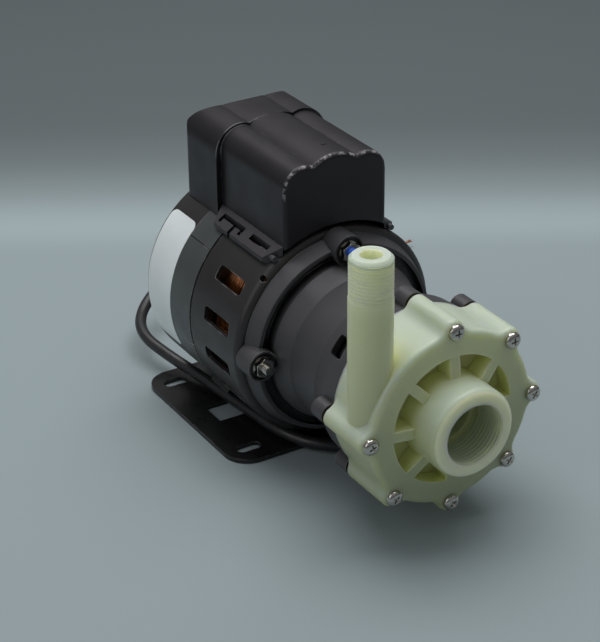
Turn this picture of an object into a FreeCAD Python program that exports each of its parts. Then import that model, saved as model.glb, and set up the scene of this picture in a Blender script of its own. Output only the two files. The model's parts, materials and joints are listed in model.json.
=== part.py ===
import FreeCAD, Part
import math
import os
import re
import Sketcher

# Magnetic drive pump: an open motor on a stamped base turns a magnet cup, and the cup's field turns the
# impeller's magnet through the wall of a plastic can, so that no shaft passes through the wet housing.
#
# Frame, in millimetres: X along the shaft towards the inlet, Z up, Y to the right as seen from the inlet.
# The origin is the middle of the four foot slots, on the floor. Pieces on the shaft are drawn about their
# own X axis and then lifted to the shaft's height. Where a cut or a joint adds or takes off 1, it runs 1 mm
# past the surface that it opens or meets.

SIZES = [
    # base
    ("plate_length", 107.6, "base plate along X"),
    ("plate_width", 122.4, "base plate along Y"),
    ("plate_thickness", 2.5, "base plate's steel"),
    ("plate_corner", 14.0, "corner radius of the base plate"),
    ("slot_spacing_x", 81.5, "foot slots, front to rear"),
    ("slot_spacing_y", 94.8, "foot slots, side to side"),
    ("slot_length", 14.3, "end to end, along Y"),
    ("slot_width", 7.1, "foot slot"),
    ("window_centre", 1.1, "X of the lanced windows"),
    ("window_length", 17.5, "window along X"),
    ("window_inner", 18.0, "window's inner edge, where its tab is bent up"),
    ("window_outer", 47.0, "window's outer edge"),
    # motor shell
    ("motor_rear", -47.0, "X of the motor's rear face"),
    ("shell_radius", 59.0, "motor's outer radius"),
    ("shell_lift", 4.5, "motor's underside above the floor"),
    ("shell_wall", 2.2, "steel of both bells and the band"),
    ("rear_bell_length", 27.5, "rear bell"),
    ("band_length", 21.0, "steel band between the bells"),
    ("band_groove", 1.5, "open groove in front of the band"),
    ("front_bell_length", 49.0, "front bell"),
    ("bell_round", 4.0, "rounded edge of the front bell"),
    ("rear_round", 2.2, "rounded edge of the rear bell"),
    ("seam_angle", 140.2, "butt seam of the band"),
    ("seam_gap", 0.5, "butt seam's gap"),
    ("vent_count", 12, "vents round the front bell"),
    ("vent_pitch", 22.5, "angle between vents"),
    ("vent_first", 146.25, "angle of the first vent, left of the cover"),
    ("vent_rear", 13.4, "from the bell's rear edge to the vents"),
    ("vent_length", 25.0, "vent along X"),
    ("vent_width", 8.0, "vent round the shell"),
    ("vent_corner", 1.8, "vent's corner radius"),
    ("rear_vent_count", 8, "vents in the rear face"),
    ("rear_vent_inner", 20.0, "radius where the rear vents start"),
    ("rear_vent_margin", 5.2, "outer ends of the rear vents to the bolt circle"),
    ("rear_vent_width", 6.0, "rear vent"),
    ("peep_radius", 1.75, "small hole in the front bell's rim"),
    ("peep_angle", 135.7, "angle of the small hole"),
    ("peep_setback", 2.2, "from the front face to the small hole's centre"),
    # stator
    ("core_overlap", 7.5, "how far the core reaches into each bell"),
    ("seat_gap", 0.1, "slip clearance of seated pieces"),
    ("stator_bore", 30.4, "radius of the stator's bore"),
    ("stator_slots", 24, "winding slots"),
    ("slot_mouth", 2.4, "width of a winding slot's mouth"),
    ("slot_neck", 2.0, "depth of a winding slot's mouth"),
    ("stator_yoke", 11.3, "core outside the winding slots"),
    ("slot_foot_width", 4.0, "slot just above its mouth"),
    ("slot_head_width", 6.4, "slot at its bottom"),
    ("winding_gap", 0.35, "insulation between winding and core"),
    ("winding_inner", 33.5, "inner radius of the end turns"),
    ("winding_clearance", 0.8, "end turns to the through bolts"),
    ("winding_front", 18.0, "end turns in front of the core"),
    ("winding_back", 12.0, "end turns behind the core"),
    ("winding_round", 3.0, "bevel of the end turns"),
    # shaft and rotor
    ("shaft_radius", 6.35, "motor shaft"),
    ("shaft_shoulder", 7.5, "shaft radius under the rotor"),
    ("shaft_tail_gap", 0.7, "shaft end to the rear wall"),
    ("shaft_reach", 26.0, "shaft in front of the front bell"),
    ("shaft_flat", 1.0, "flat under the set screws"),
    ("running_gap", 0.03, "shaft in a sleeve bearing"),
    ("bearing_radius", 11.0, "sleeve bearing's outside"),
    ("bearing_length", 11.0, "sleeve bearing"),
    ("bearing_wall", 3.0, "boss round a sleeve bearing"),
    ("air_gap", 0.4, "rotor to stator"),
    ("end_ring_inner", 19.0, "rotor's end ring"),
    ("end_ring_height", 4.0, "rotor's end ring beyond its core"),
    ("collar_radius", 11.0, "thrust collar"),
    ("collar_width", 3.0, "thrust collar"),
    ("end_play", 0.4, "collar to bearing"),
    ("fan_blades", 9, "cooling fan"),
    ("fan_disc", 2.4, "fan disc"),
    ("fan_blade", 1.6, "fan blade's thickness"),
    ("fan_reach", 9.8, "fan blades behind the disc"),
    ("fan_clearance", 1.5, "fan to bearing boss"),
    ("fan_radius", 24.5, "cooling fan"),
    # through bolts
    ("bolt_inset", 7.8, "centres of the four through bolts inside the shell's radius"),
    ("bolt_radius", 2.4, "through bolt"),
    ("hole_gap", 0.1, "clearance of a bolt or screw in its hole"),
    ("bolt_head_width", 8.0, "across flats"),
    ("bolt_head_height", 3.0, "hexagon head at the rear"),
    ("bolt_stud", 3.2, "bolt past its nut"),
    ("nut_width", 9.5, "across flats"),
    ("nut_height", 3.4, "nut"),
    ("washer_radius", 5.4, "lock washer"),
    ("washer_height", 1.1, "lock washer"),
    # bracket
    ("bracket_length", 70.5, "bracket, bell face to parting face"),
    ("flange_thickness", 10.9, "bracket's rear flange, to the nuts' seats"),
    ("lip_setback", 1.9, "flange's rim behind the nuts' seats"),
    ("trough_depth", 4.5, "hollow between the rim and the dome"),
    ("lip_wall", 2.2, "rim round the flange"),
    ("flange_inset", 4.0, "flange's edge at the bell, inside the shell's radius"),
    ("flange_taper", 2.8, "how much narrower the flange is at its rim"),
    ("bolt_boss", 8.4, "radius of the flange's bolt bosses"),
    ("boss_rim", 1.8, "thin wall of a boss in front of the nut's seat"),
    ("boss_wall", 0.9, "thin wall of a boss"),
    ("dome_foot", 6.5, "dome's foot inside the bolt circle"),
    ("dome_shoulder", 5.0, "from the flange floor to the dome's shoulder"),
    ("dome_shoulder_step", 1.7, "dome's shoulder inside its foot"),
    ("waist_rear", 11.0, "from the flange floor to the waist"),
    ("waist_radius", 41.0, "narrowest part of the dome"),
    ("waist_length", 23.0, "length of the waist"),
    ("neck_setback", 12.5, "from the parting face back to the end of the flare"),
    ("neck_radius", 45.2, "dome radius there"),
    ("dome_wall", 2.6, "dome's wall"),
    ("neck_wall", 4.6, "wall at the end of the flare"),
    ("window_mid_angle", 141.0, "side window of the bracket"),
    ("window_setback", 11.5, "from the parting face to the side window's middle"),
    ("side_window", 11.0, "side window, both ways"),
    # pump housing
    ("housing_depth", 34.5, "housing, parting face to its front"),
    ("housing_radius", 46.2, "housing between its ears"),
    ("housing_round", 3.0, "rounded front edge of the housing"),
    ("hub_reach", 17.8, "inlet hub in front of the housing"),
    ("hub_radius", 23.3, "inlet hub"),
    ("hub_round", 3.6, "rounded mouth of the hub"),
    ("inlet_bore", 15.7, "radius of the threaded inlet"),
    ("inlet_depth", 21.8, "depth of the threaded inlet"),
    ("eye_radius", 13.0, "passage behind the inlet"),
    ("chamber_depth", 19.5, "volute chamber"),
    ("chamber_radius", 35.2, "volute chamber"),
    ("chamber_shift", 1.2, "chamber's offset towards the outlet"),
    ("rim_inner", 34.0, "inner radius of the front rim"),
    ("pocket_depth", 10.0, "pockets round the hub"),
    ("rib_count", 8, "ribs between rim and hub"),
    ("rib_width", 5.6, "rib"),
    ("rib_rise", 1.5, "how much higher a rib meets the hub than the rim"),
    ("screw_circle", 47.1, "radius of the housing screws"),
    ("screw_count", 7, "housing screws"),
    ("screw_pitch", 45.0, "angle between screws"),
    ("screw_first", 180.0, "angle of the first screw; none stands under the outlet"),
    ("screw_radius", 2.4, "housing screw"),
    ("screw_head_radius", 4.25, "pan head"),
    ("screw_head_height", 2.7, "pan head"),
    ("screw_bite", 7.0, "screw in the bracket"),
    ("ear_radius", 5.7, "boss round each screw"),
    ("ear_blend", 9.0, "hollow between ear and housing"),
    ("ear_setback", 2.0, "ear behind the parting face"),
    ("bracket_ear_radius", 5.6, "bracket's boss round each screw"),
    ("bracket_ear_length", 9.5, "bracket's boss"),
    # outlet
    ("outlet_x", 20.25, "from the parting face to the outlet's axis"),
    ("outlet_y", -38.3, "Y of the outlet's axis"),
    ("outlet_top", 91.9, "outlet's top above the shaft"),
    ("outlet_radius", 10.65, "outlet's threaded end"),
    ("outlet_thread", 20.0, "straight wall of the threaded end"),
    ("pipe_radius", 10.85, "outlet pipe below its thread"),
    ("outlet_bore", 5.4, "outlet's bore"),
    ("outlet_bevel", 1.8, "bevelled mouth of the outlet"),
    ("outlet_foot", 4.0, "height above the shaft where the pipe starts"),
    ("throat_depth", 14.0, "way from the chamber into the pipe, upwards"),
    ("throat_inner", 31.0, "throat's edge inside the chamber"),
    ("throat_outer", 41.0, "throat's outer edge"),
    ("throat_rear", 6.0, "from the parting face to the throat"),
    ("throat_round", 4.0, "throat's corner radius"),
    # magnet can, impeller and spindle
    ("can_reach", 42.0, "can behind the parting face"),
    ("can_radius", 30.9, "can's outside"),
    ("can_wall", 1.9, "can's wall"),
    ("can_floor", 3.0, "can's closed end"),
    ("can_flange_radius", 42.8, "can's flange"),
    ("can_flange", 4.0, "can's flange"),
    ("socket_radius", 8.0, "spindle socket"),
    ("socket_depth", 6.0, "spindle socket"),
    ("seal_inner", 37.9, "inner radius of the seal's groove"),
    ("seal_width", 3.0, "groove's width"),
    ("seal_depth", 2.2, "groove's depth"),
    ("seal_bevel", 0.7, "squeezed ring's rounded corners"),
    ("spindle_radius", 4.75, "ceramic spindle"),
    ("bushing_wall", 3.7, "impeller bushing"),
    ("spindle_gap", 0.05, "bushing on the spindle"),
    ("bushing_length", 36.0, "impeller bushing"),
    ("washer_thickness", 2.0, "thrust washer"),
    ("thrust_gap", 0.3, "beside each thrust washer"),
    ("magnet_gap", 0.8, "moving magnet parts to the can"),
    ("wet_skin", 1.5, "plastic over the impeller's magnet"),
    ("wet_rear_gap", 2.5, "impeller's hull to the can's floor"),
    ("wet_recess", 1.0, "magnet behind the hull's edge"),
    ("wet_magnet_inner", 15.0, "impeller's magnet"),
    ("wet_magnet_length", 24.0, "impeller's magnet"),
    ("shroud_gap", 1.6, "parting face to the impeller's disc"),
    ("shroud_thickness", 2.4, "impeller's disc"),
    ("impeller_radius", 31.5, "impeller"),
    ("vane_count", 6, "impeller vanes"),
    ("vane_height", 14.0, "impeller vane"),
    ("vane_inner", 12.0, "radius where a vane starts"),
    ("vane_sweep", 58.0, "angle that a vane sweeps back"),
    ("vane_thickness", 2.2, "impeller vane"),
    ("vane_curve", 22.0, "radius of a vane's curve"),
    ("impeller_boss", 11.0, "boss round the bushing's front end"),
    ("spider_radius", 7.8, "front spindle seat"),
    ("spider_depth", 9.5, "spindle in its front seat"),
    ("spider_leg", 3.0, "leg of the front spindle seat"),
    ("spider_leg_length", 5.0, "legs along X"),
    ("spider_legs", 3, "legs"),
    # drive cup
    ("cup_gap", 1.2, "cup to the bracket's waist"),
    ("cup_wall", 1.9, "cup's wall"),
    ("cup_web", 4.0, "cup's disc"),
    ("cup_web_gap", 2.4, "cup's disc to the can"),
    ("cup_hub_radius", 11.5, "cup's hub"),
    ("cup_hub_length", 19.0, "cup's hub"),
    ("drive_magnet_length", 28.0, "drive magnet"),
    ("set_screw_radius", 2.0, "set screw"),
    ("set_screw_setback", 12.5, "from the cup's disc to the set screws"),
    ("set_screw_depth", 0.3, "set screw below the hub's surface"),
    # terminal cover
    ("cover_rear_gap", 0.3, "cover's rear face to the motor's rear face"),
    ("cover_step", -11.0, "X where the wide rear part ends"),
    ("cover_front", 52.4, "X of the cover's front face"),
    ("cover_seat", 0.4, "cover above the shell"),
    ("cover_nose_lift", 2.6, "front edge above the shell"),
    ("cover_nose", 7.0, "length of the raised front edge"),
    ("cover_skirt", 15.0, "sides drawn down past the shell's top, before the motor's curve is cut"),
    ("cover_half", 30.3, "half width of the front part"),
    ("cover_side_top", 37.9, "top of the side lobes, above the shell"),
    ("cover_side_lobe", 18.2, "half distance between their tops"),
    ("cover_valley", 13.0, "half distance between the valleys"),
    ("cover_valley_top", 36.6, "valleys above the shell"),
    ("cover_top", 40.8, "top of the middle lobe, above the shell"),
    ("cover_rear_half", 33.3, "half width of the rear part"),
    ("cover_rear_rise", 1.5, "side lobes of the rear part above those of the front part"),
    ("cover_roof_round", 15.0, "rounded rear end of the roof"),
    ("cover_rear_corner", 6.0, "rounded rear corners"),
    ("cover_front_round", 2.6, "rounded front edge"),
    ("cover_wall", 2.2, "cover's wall"),
    ("slit_x", 39.0, "slit in the roof"),
    ("slit_y", 1.2, "slit in the roof"),
    ("slit_length", 3.4, "slit in the roof"),
    ("slit_width", 0.8, "slit in the roof"),
    ("clip_front", 50.6, "clip's inner edge, front end"),
    ("clip_taper", 6.0, "how much shorter the outer edge is, each end"),
    ("clip_reach", 8.9, "clip out from the cover"),
    ("clip_gap", 0.1, "clip to cover and shell"),
    ("clip_inner_drop", 3.6, "clip's top at the cover, below the shell's top"),
    ("clip_outer_drop", 9.4, "clip's top at its outer edge, below the shell's top"),
    ("clip_outer_height", 2.4, "clip's outer edge"),
    ("clip_slot_rear", 7.5, "from the clip's rear to its hooked slot"),
    ("clip_slot_length", 22.0, "hooked slot"),
    ("clip_slot_width", 2.4, "both slots"),
    ("clip_slot_inset", 2.6, "from the cover to the slots"),
    ("clip_hook", 2.2, "hook at the slot's ends"),
    ("clip_mouth_at", 12.6, "from the hooked slot's rear to its mouth"),
    ("clip_mouth", 2.4, "mouth to the outer edge"),
    ("clip_slit_rear", 36.7, "from the clip's rear to its straight slot"),
    ("clip_slit_length", 17.4, "straight slot"),
    ("clip_slit_width", 3.2, "straight slot"),
    ("pin_radius", 1.5, "clip pin"),
    ("pin_lift", 1.8, "clip pin's centre above the shell"),
    ("pin_out", 4.66, "from the cover's side to the clip pin"),
    ("pin_rear", 36.0, "X of the pin's rear end"),
    ("pin_length", 14.6, "clip pin"),
    ("capacitor_radius", 17.5, "run capacitor"),
    ("capacitor_length", 72.0, "run capacitor"),
    ("capacitor_rear", -34.0, "X of the capacitor's rear end"),
    ("terminal_length", 6.0, "capacitor's blades"),
    ("terminal_width", 6.3, "capacitor's blades"),
    ("terminal_thickness", 0.8, "capacitor's blades"),
    ("terminal_spacing", 14.0, "between the capacitor's blades"),
    # label
    ("label_inset", 2.3, "from the rear face to the label"),
    ("label_width", 25.0, "label along X"),
    ("label_first", 133.5, "angle where the label starts"),
    ("label_sweep", 74.0, "angle that the label spans"),
    ("label_thickness", 0.3, "label"),
    ("label_glue", 0.02, "adhesive under the label"),
    # cord
    ("cord_radius", 3.25, "power cord"),
    ("exit_y", 24.0, "Y of the cord's exit"),
    ("exit_drop", 21.2, "exit below the shaft axis"),
    ("relief_flange", 7.4, "strain relief's flange radius"),
    ("relief_flange_height", 2.2, "strain relief's flange"),
    ("relief_body", 5.6, "strain relief's body radius"),
    ("relief_length", 22.5, "strain relief behind the motor"),
    ("relief_tip", 4.3, "radius at its tip"),
    ("relief_inside", 3.0, "part inside the bell"),
    ("cord_gap", 0.1, "between turns that lie side by side, and under the cord"),
    ("coil_x", -102.0, "centre of the coiled spare length"),
    ("coil_y", 39.0, "centre of the coiled spare length"),
    ("coil_radius", 44.0, "where the cord enters and leaves the coil"),
    ("coil_turns", 2.875, "turns in each of the two layers"),
    ("coil_tangent", 26.0, "straight ends of the coil's solid"),
    ("conductor_radius", 1.1, "insulated conductor"),
    ("copper_radius", 0.65, "bare copper end"),
    ("strip_gap", 0.15, "insulation's end to the bare copper"),
]

# What the motor carries follows from its shell, as expressions of the sizes.
SHAFT_HEIGHT = "(shell_radius + shell_lift)"
BORE_RADIUS = "(shell_radius - shell_wall)"
BOLT_CIRCLE = "(shell_radius - bolt_inset)"
SLOT_BOTTOM = f"({BORE_RADIUS} - stator_yoke)"
WINDING_OUTER = f"({BOLT_CIRCLE} - bolt_radius - winding_clearance)"
FLANGE_REAR_RADIUS = "(shell_radius - flange_inset)"
FLANGE_FRONT_RADIUS = f"({FLANGE_REAR_RADIUS} - flange_taper)"
DOME_BASE = f"({BOLT_CIRCLE} - dome_foot)"
FLANGE_BORE = f"({DOME_BASE} - dome_wall)"
DOME_SHOULDER_RADIUS = f"({DOME_BASE} - dome_shoulder_step)"
COVER_BASE = "(shell_radius - cover_skirt)"
COVER_SIDE_TOP = "(shell_radius + cover_side_top)"
COVER_VALLEY_TOP = "(shell_radius + cover_valley_top)"
COVER_TOP = "(shell_radius + cover_top)"
CLIP_REAR = "(cover_step + clip_gap)"
CLIP_INNER_TOP = "(shell_radius - clip_inner_drop)"
CLIP_OUTER_TOP = "(shell_radius - clip_outer_drop)"
PIN_Y = "(cover_half + pin_out)"
PIN_Z = f"sqrt((shell_radius + pin_lift) ^ 2 - {PIN_Y} ^ 2)"

# Positions along the shaft
BAND_REAR = "(motor_rear + rear_bell_length)"
BAND_FRONT = f"({BAND_REAR} + band_length)"
BELL_REAR = f"({BAND_FRONT} + band_groove)"
BELL_FRONT = f"({BELL_REAR} + front_bell_length)"
CORE_REAR = f"({BAND_REAR} - core_overlap)"
CORE_FRONT = f"({BELL_REAR} + core_overlap)"
REAR_BEARING = "(motor_rear + shell_wall)"
FRONT_BEARING = f"({BELL_FRONT} - shell_wall - bearing_length)"
NUT_SEAT = f"({BELL_FRONT} + flange_thickness)"
LIP_FRONT = f"({NUT_SEAT} - lip_setback)"
TROUGH = f"({LIP_FRONT} - trough_depth)"
PARTING = f"({BELL_FRONT} + bracket_length)"
HEAD_FRONT = f"({PARTING} + housing_depth)"
HUB_FRONT = f"({HEAD_FRONT} + hub_reach)"
CHAMBER_FRONT = f"({PARTING} + chamber_depth)"
POCKET_FLOOR = f"({HEAD_FRONT} - pocket_depth)"
CAN_REAR = f"({PARTING} - can_reach)"
SOCKET_REAR = f"({CAN_REAR} + can_floor)"
REAR_WASHER = f"({SOCKET_REAR} + socket_depth + thrust_gap)"
BUSHING_REAR = f"({REAR_WASHER} + washer_thickness + thrust_gap)"
FRONT_WASHER = f"({BUSHING_REAR} + bushing_length + thrust_gap)"
SPIDER_REAR = f"({FRONT_WASHER} + washer_thickness + thrust_gap)"
SHROUD_REAR = f"({PARTING} + shroud_gap)"
VANE_REAR = f"({SHROUD_REAR} + shroud_thickness)"
CUP_WEB_FRONT = f"({CAN_REAR} - cup_web_gap)"
CUP_WEB_REAR = f"({CUP_WEB_FRONT} - cup_web)"
CUP_HUB_REAR = f"({CUP_WEB_FRONT} - cup_hub_length)"
CUP_RADIUS = "(waist_radius - dome_wall - cup_gap)"
COVER_REAR = "(motor_rear + cover_rear_gap)"
OUTLET_X = f"({PARTING} + outlet_x)"
ROTOR_RADIUS = "(stator_bore - air_gap)"
WET_RADIUS = "(can_radius - can_wall - magnet_gap)"
WET_REAR = f"({SOCKET_REAR} + wet_rear_gap)"
BUSHING_RADIUS = "(spindle_radius + spindle_gap + bushing_wall)"
COIL_PITCH = "(2 * cord_radius + cord_gap)"

# The free cord's route, in the frame of the whole pump: from the strain relief round behind the motor,
# along the base plate beside the motor, under the bracket and back along the other side to the coil.
LEAD_ROUTE = [
    (-69.5, 24.0, 42.3),
    (-92.5, 24.0, 42.3),
    (-111.0, 10.0, 36.5),
    (-115.5, -12.5, 26.0),
    (-103.5, -36.0, 17.0),
    (-82.0, -47.5, 14.0),
    (-58.0, -43.6, 10.8),
    (-33.5, -36.8, 7.4),
    (-7.0, -33.5, 6.3),
    (19.0, -30.5, 6.3),
    (41.8, -29.3, 7.0),
    (62.5, -19.3, 5.6),
    (75.0, 4.0, 3.35),
    (75.5, 30.0, 3.35),
    (62.0, 52.5, 3.35),
    (38.0, 67.0, 3.35),
    (10.0, 73.5, 3.35),
    (-18.0, 79.5, 3.35),
    (-48.0, 83.0, 3.35),
    (-76.0, 83.0, 3.35),
]
TAIL_ROUTE = [
    (-58.0, 65.0, 9.95),
    (-58.0, 83.5, 9.95),
    (-61.5, 100.5, 8.6),
    (-72.5, 113.5, 4.4),
    (-86.5, 122.5, 3.35),
    (-101.0, 131.0, 3.35),
]
# Each conductor leaves the cord's end face, lies in a bend on the floor and ends in a straight bare tip.
CONDUCTORS = [
    [(-101.22, 131.13, 4.7), (-109.0, 135.4, 4.6), (-113.6, 144.0, 4.3), (-114.6, 151.0, 4.2)],
    [(-101.82, 130.08, 2.65), (-111.0, 133.8, 2.0), (-121.5, 133.5, 1.4), (-129.0, 130.5, 1.25)],
    [(-100.62, 132.18, 2.65), (-108.5, 136.5, 2.2), (-116.5, 142.0, 1.6), (-122.0, 147.5, 1.25)],
]
COPPER_TIPS = [(-117.9, 164.7, 4.0), (-138.5, 126.5, 1.25), (-128.5, 155.5, 1.25)]

doc = FreeCAD.newDocument("magnetic_drive_pump")
sheet = doc.addObject("Spreadsheet::Sheet", "sizes")
for row, (alias, number, note) in enumerate(SIZES, start=1):
    sheet.set(f"A{row}", note)
    sheet.set(f"B{row}", str(number))
    sheet.setAlias(f"B{row}", alias)
doc.recompute()
ALIASES = {alias for alias, _, _ in SIZES}
nodes = []


def named(expression):
    """Points each size's name at its cell in the sheet."""
    return re.sub(r"[a-z_]+", lambda m: "sizes." + m[0] if m[0] in ALIASES else m[0], str(expression))


def value(expression):
    return float(sheet.evalExpression(named(expression)))


def bind(thing, path, expression):
    thing.setExpression(path, named(expression))


def role(body, name):
    return next(f for f in body.Origin.OriginFeatures if f.Role == name)


def plain_body(name, y="0", z=SHAFT_HEIGHT):
    """A body drawn about its own X axis, which is lifted to the shaft's height."""
    body = doc.addObject("PartDesign::Body", name)
    body.Label = name
    bind(body, "Placement.Base.y", y)
    bind(body, "Placement.Base.z", z)
    return body


def new_body(*place):
    """A body that is a node of its own."""
    body = plain_body(*place)
    nodes.append(body)
    return body


def sketch_on(body, plane, lift="0", turn="0"):
    """A sketch on one of the body's own planes, turned about X and then lifted along its normal."""
    sketch = body.newObject("Sketcher::SketchObject", body.Name + "_sketch")
    sketch.AttachmentSupport = [(role(body, plane), "")]
    sketch.MapMode = "FlatFace"
    if turn == "0":
        bind(sketch, "AttachmentOffset.Base.z", lift)
        return sketch
    sketch.AttachmentOffset = FreeCAD.Placement(
        FreeCAD.Vector(), FreeCAD.Rotation(FreeCAD.Vector(1, 0, 0), value(turn))
    )
    bind(sketch, "AttachmentOffset.Rotation.Angle", turn)
    bind(sketch, "AttachmentOffset.Base.y", f"-({lift}) * sin({turn})")
    bind(sketch, "AttachmentOffset.Base.z", f"({lift}) * cos({turn})")
    return sketch


def pin(sketch, geometry, point, u, v):
    """Fixes one point of the sketch at (u, v)."""
    for kind, expression in (("DistanceX", u), ("DistanceY", v)):
        index = sketch.addConstraint(Sketcher.Constraint(kind, geometry, point, value(expression)))
        bind(sketch, f"Constraints[{index}]", expression)


def hold_radius(sketch, geometry, radius):
    index = sketch.addConstraint(Sketcher.Constraint("Radius", geometry, value(radius)))
    bind(sketch, f"Constraints[{index}]", radius)


def flat(u, v):
    return FreeCAD.Vector(u, v, 0)


def arc_between(start, end, radius):
    """The shorter arc from start to end, which turns left for a radius above zero and right for one below."""
    a, b = flat(*start), flat(*end)
    chord = b - a
    left = flat(-chord.y, chord.x).normalize()
    sagitta = abs(radius) - math.sqrt(max(radius**2 - (chord.Length / 2) ** 2, 0))
    middle = (a + b) / 2 - left * math.copysign(sagitta, radius)
    return Part.Arc(a, middle, b)


def outline(sketch, steps):
    """Draws a closed outline. A step is a corner (u, v), or (u, v, radius) where an arc leads to the corner:
    it turns left for a radius above zero and right for one below."""
    spots = [(value(step[0]), value(step[1])) for step in steps]
    first = sketch.GeometryCount
    ends = []
    for k, step in enumerate(steps):
        if len(step) == 2:
            sketch.addGeometry(Part.LineSegment(flat(*spots[k - 1]), flat(*spots[k])), False)
            ends.append((1, 2))
            continue
        geometry = sketch.addGeometry(arc_between(spots[k - 1], spots[k], value(step[2])), False)
        start = flat(*spots[k - 1])
        gaps = [(sketch.getPoint(geometry, point) - start).Length for point in (1, 2)]
        ends.append((1, 2) if gaps[0] < gaps[1] else (2, 1))
        hold_radius(sketch, geometry, f"abs({step[2]})")
    for k in range(len(steps)):
        after = (k + 1) % len(steps)
        joint = Sketcher.Constraint("Coincident", first + k, ends[k][1], first + after, ends[after][0])
        sketch.addConstraint(joint)
        pin(sketch, first + k, ends[k][1], *steps[k][:2])


def rounded_box(sketch, u0, v0, u1, v1, r):
    outline(
        sketch,
        [
            (u0, f"{v0} + {r}"),
            (f"{u0} + {r}", v0, r),
            (f"{u1} - {r}", v0),
            (u1, f"{v0} + {r}", r),
            (u1, f"{v1} - {r}"),
            (f"{u1} - {r}", v1, r),
            (f"{u0} + {r}", v1),
            (u0, f"{v1} - {r}", r),
        ],
    )


def circle(sketch, u, v, radius):
    round_line = Part.Circle(flat(value(u), value(v)), FreeCAD.Vector(0, 0, 1), value(radius))
    geometry = sketch.addGeometry(round_line, False)
    pin(sketch, geometry, 3, u, v)
    hold_radius(sketch, geometry, radius)


def slot(sketch, u, v, length, width):
    """A slot with round ends, which runs along v."""
    half = value(length) / 2 - value(width) / 2
    radius = value(width) / 2
    at = flat(value(u), value(v))
    normal = FreeCAD.Vector(0, 0, 1)
    first = sketch.GeometryCount
    for side, angles in ((1, (0, math.pi)), (-1, (math.pi, 2 * math.pi))):
        round_end = Part.Circle(at + flat(0, side * half), normal, radius)
        geometry = sketch.addGeometry(Part.ArcOfCircle(round_end, *angles), False)
        pin(sketch, geometry, 3, u, f"{v} + {side} * ({length} - {width}) / 2")
        hold_radius(sketch, geometry, f"{width} / 2")
        for point in (1, 2):
            sketch.addConstraint(Sketcher.Constraint("Horizontal", geometry, point, geometry, 3))
    for upper, lower, side in ((2, 1, -1), (1, 2, 1)):
        line = Part.LineSegment(at + flat(side * radius, half), at + flat(side * radius, -half))
        geometry = sketch.addGeometry(line, False)
        sketch.addConstraint(Sketcher.Constraint("Coincident", geometry, 1, first, upper))
        sketch.addConstraint(Sketcher.Constraint("Coincident", geometry, 2, first + 1, lower))


def feature(body, kind, sketch):
    made = body.newObject("PartDesign::" + kind, f"{body.Name}_{kind.lower()}")
    made.Profile = sketch
    return made


def pad(body, sketch, length, middle=False):
    made = feature(body, "Pad", sketch)
    bind(made, "Length", length)
    made.SideType = "Symmetric" if middle else "One side"
    doc.recompute()
    return made


def pocket(body, sketch, length, forward=False, middle=False):
    """Cuts against the sketch's normal, or along it when forward is set, and checks that metal came off."""
    before = body.Shape.Volume
    made = feature(body, "Pocket", sketch)
    bind(made, "Length", length)
    made.Reversed = forward
    made.SideType = "Symmetric" if middle else "One side"
    doc.recompute()
    if body.Shape.Volume > before - 1e-6:
        raise ValueError(f"a pocket of {body.Name} cuts nothing")
    return made


def turn_profile(body, steps, cut=False, sweep="360"):
    """Turns an outline drawn in X and radius about the body's X axis."""
    sketch = sketch_on(body, "XZ_Plane")
    outline(sketch, steps)
    before = body.Shape.Volume if cut else 0
    made = feature(body, "Groove" if cut else "Revolution", sketch)
    made.ReferenceAxis = (role(body, "X_Axis"), [""])
    bind(made, "Angle", sweep)
    doc.recompute()
    if cut and body.Shape.Volume > before - 1e-6:
        raise ValueError(f"a groove of {body.Name} cuts nothing")
    return made


def polar(body, features, count, span="360"):
    """Repeats features about the body's X axis. A span under 360 runs from the first copy to the last."""
    made = body.newObject("PartDesign::PolarPattern", body.Name + "_pattern")
    made.Originals = features
    made.Axis = (role(body, "X_Axis"), [""])
    bind(made, "Angle", span)
    bind(made, "Occurrences", count)
    body.Tip = made
    doc.recompute()
    return made


def dress(body, kind, size, chosen):
    """Rounds or bevels the edges of the body that the test chooses."""
    base = body.Tip
    edges = [f"Edge{k}" for k, edge in enumerate(base.Shape.Edges, start=1) if chosen(edge)]
    if not edges:
        raise ValueError(f"no edge of {body.Name} to dress")
    made = body.newObject("PartDesign::" + kind, f"{body.Name}_{kind.lower()}")
    made.Base = (base, edges)
    bind(made, "Radius" if kind == "Fillet" else "Size", size)
    doc.recompute()
    return made


def edge_at(x, radius):
    """Chooses circles about the X axis at this X and radius."""

    def chosen(edge):
        curve = edge.Curve
        return (
            isinstance(curve, Part.Circle)
            and abs(curve.Center.x - value(x)) < 1e-3
            and abs(curve.Radius - value(radius)) < 1e-3
            and math.hypot(curve.Center.y, curve.Center.z) < 1e-3
        )

    return chosen


def rod(name, x, length, radius, y="0", z="0"):
    """A plain round bar along X, at (y, z) from the shaft axis."""
    bar = doc.addObject("Part::Cylinder", name)
    bar.Placement = FreeCAD.Placement(FreeCAD.Vector(), FreeCAD.Rotation(FreeCAD.Vector(0, 1, 0), 90))
    bind(bar, "Radius", radius)
    bind(bar, "Height", length)
    bind(bar, "Placement.Base.x", x)
    bind(bar, "Placement.Base.y", y)
    bind(bar, "Placement.Base.z", f"{SHAFT_HEIGHT} + {z}")
    return bar


def cut_from(name, base, tool):
    made = doc.addObject("Part::Cut", name)
    made.Base = base
    made.Tool = tool
    return made


def sleeve(name, x, length, outer, inner):
    """A tube about the shaft axis."""
    return cut_from(name, rod(name + "_outside", x, length, outer), rod(name + "_bore", x, length, inner))


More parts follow.
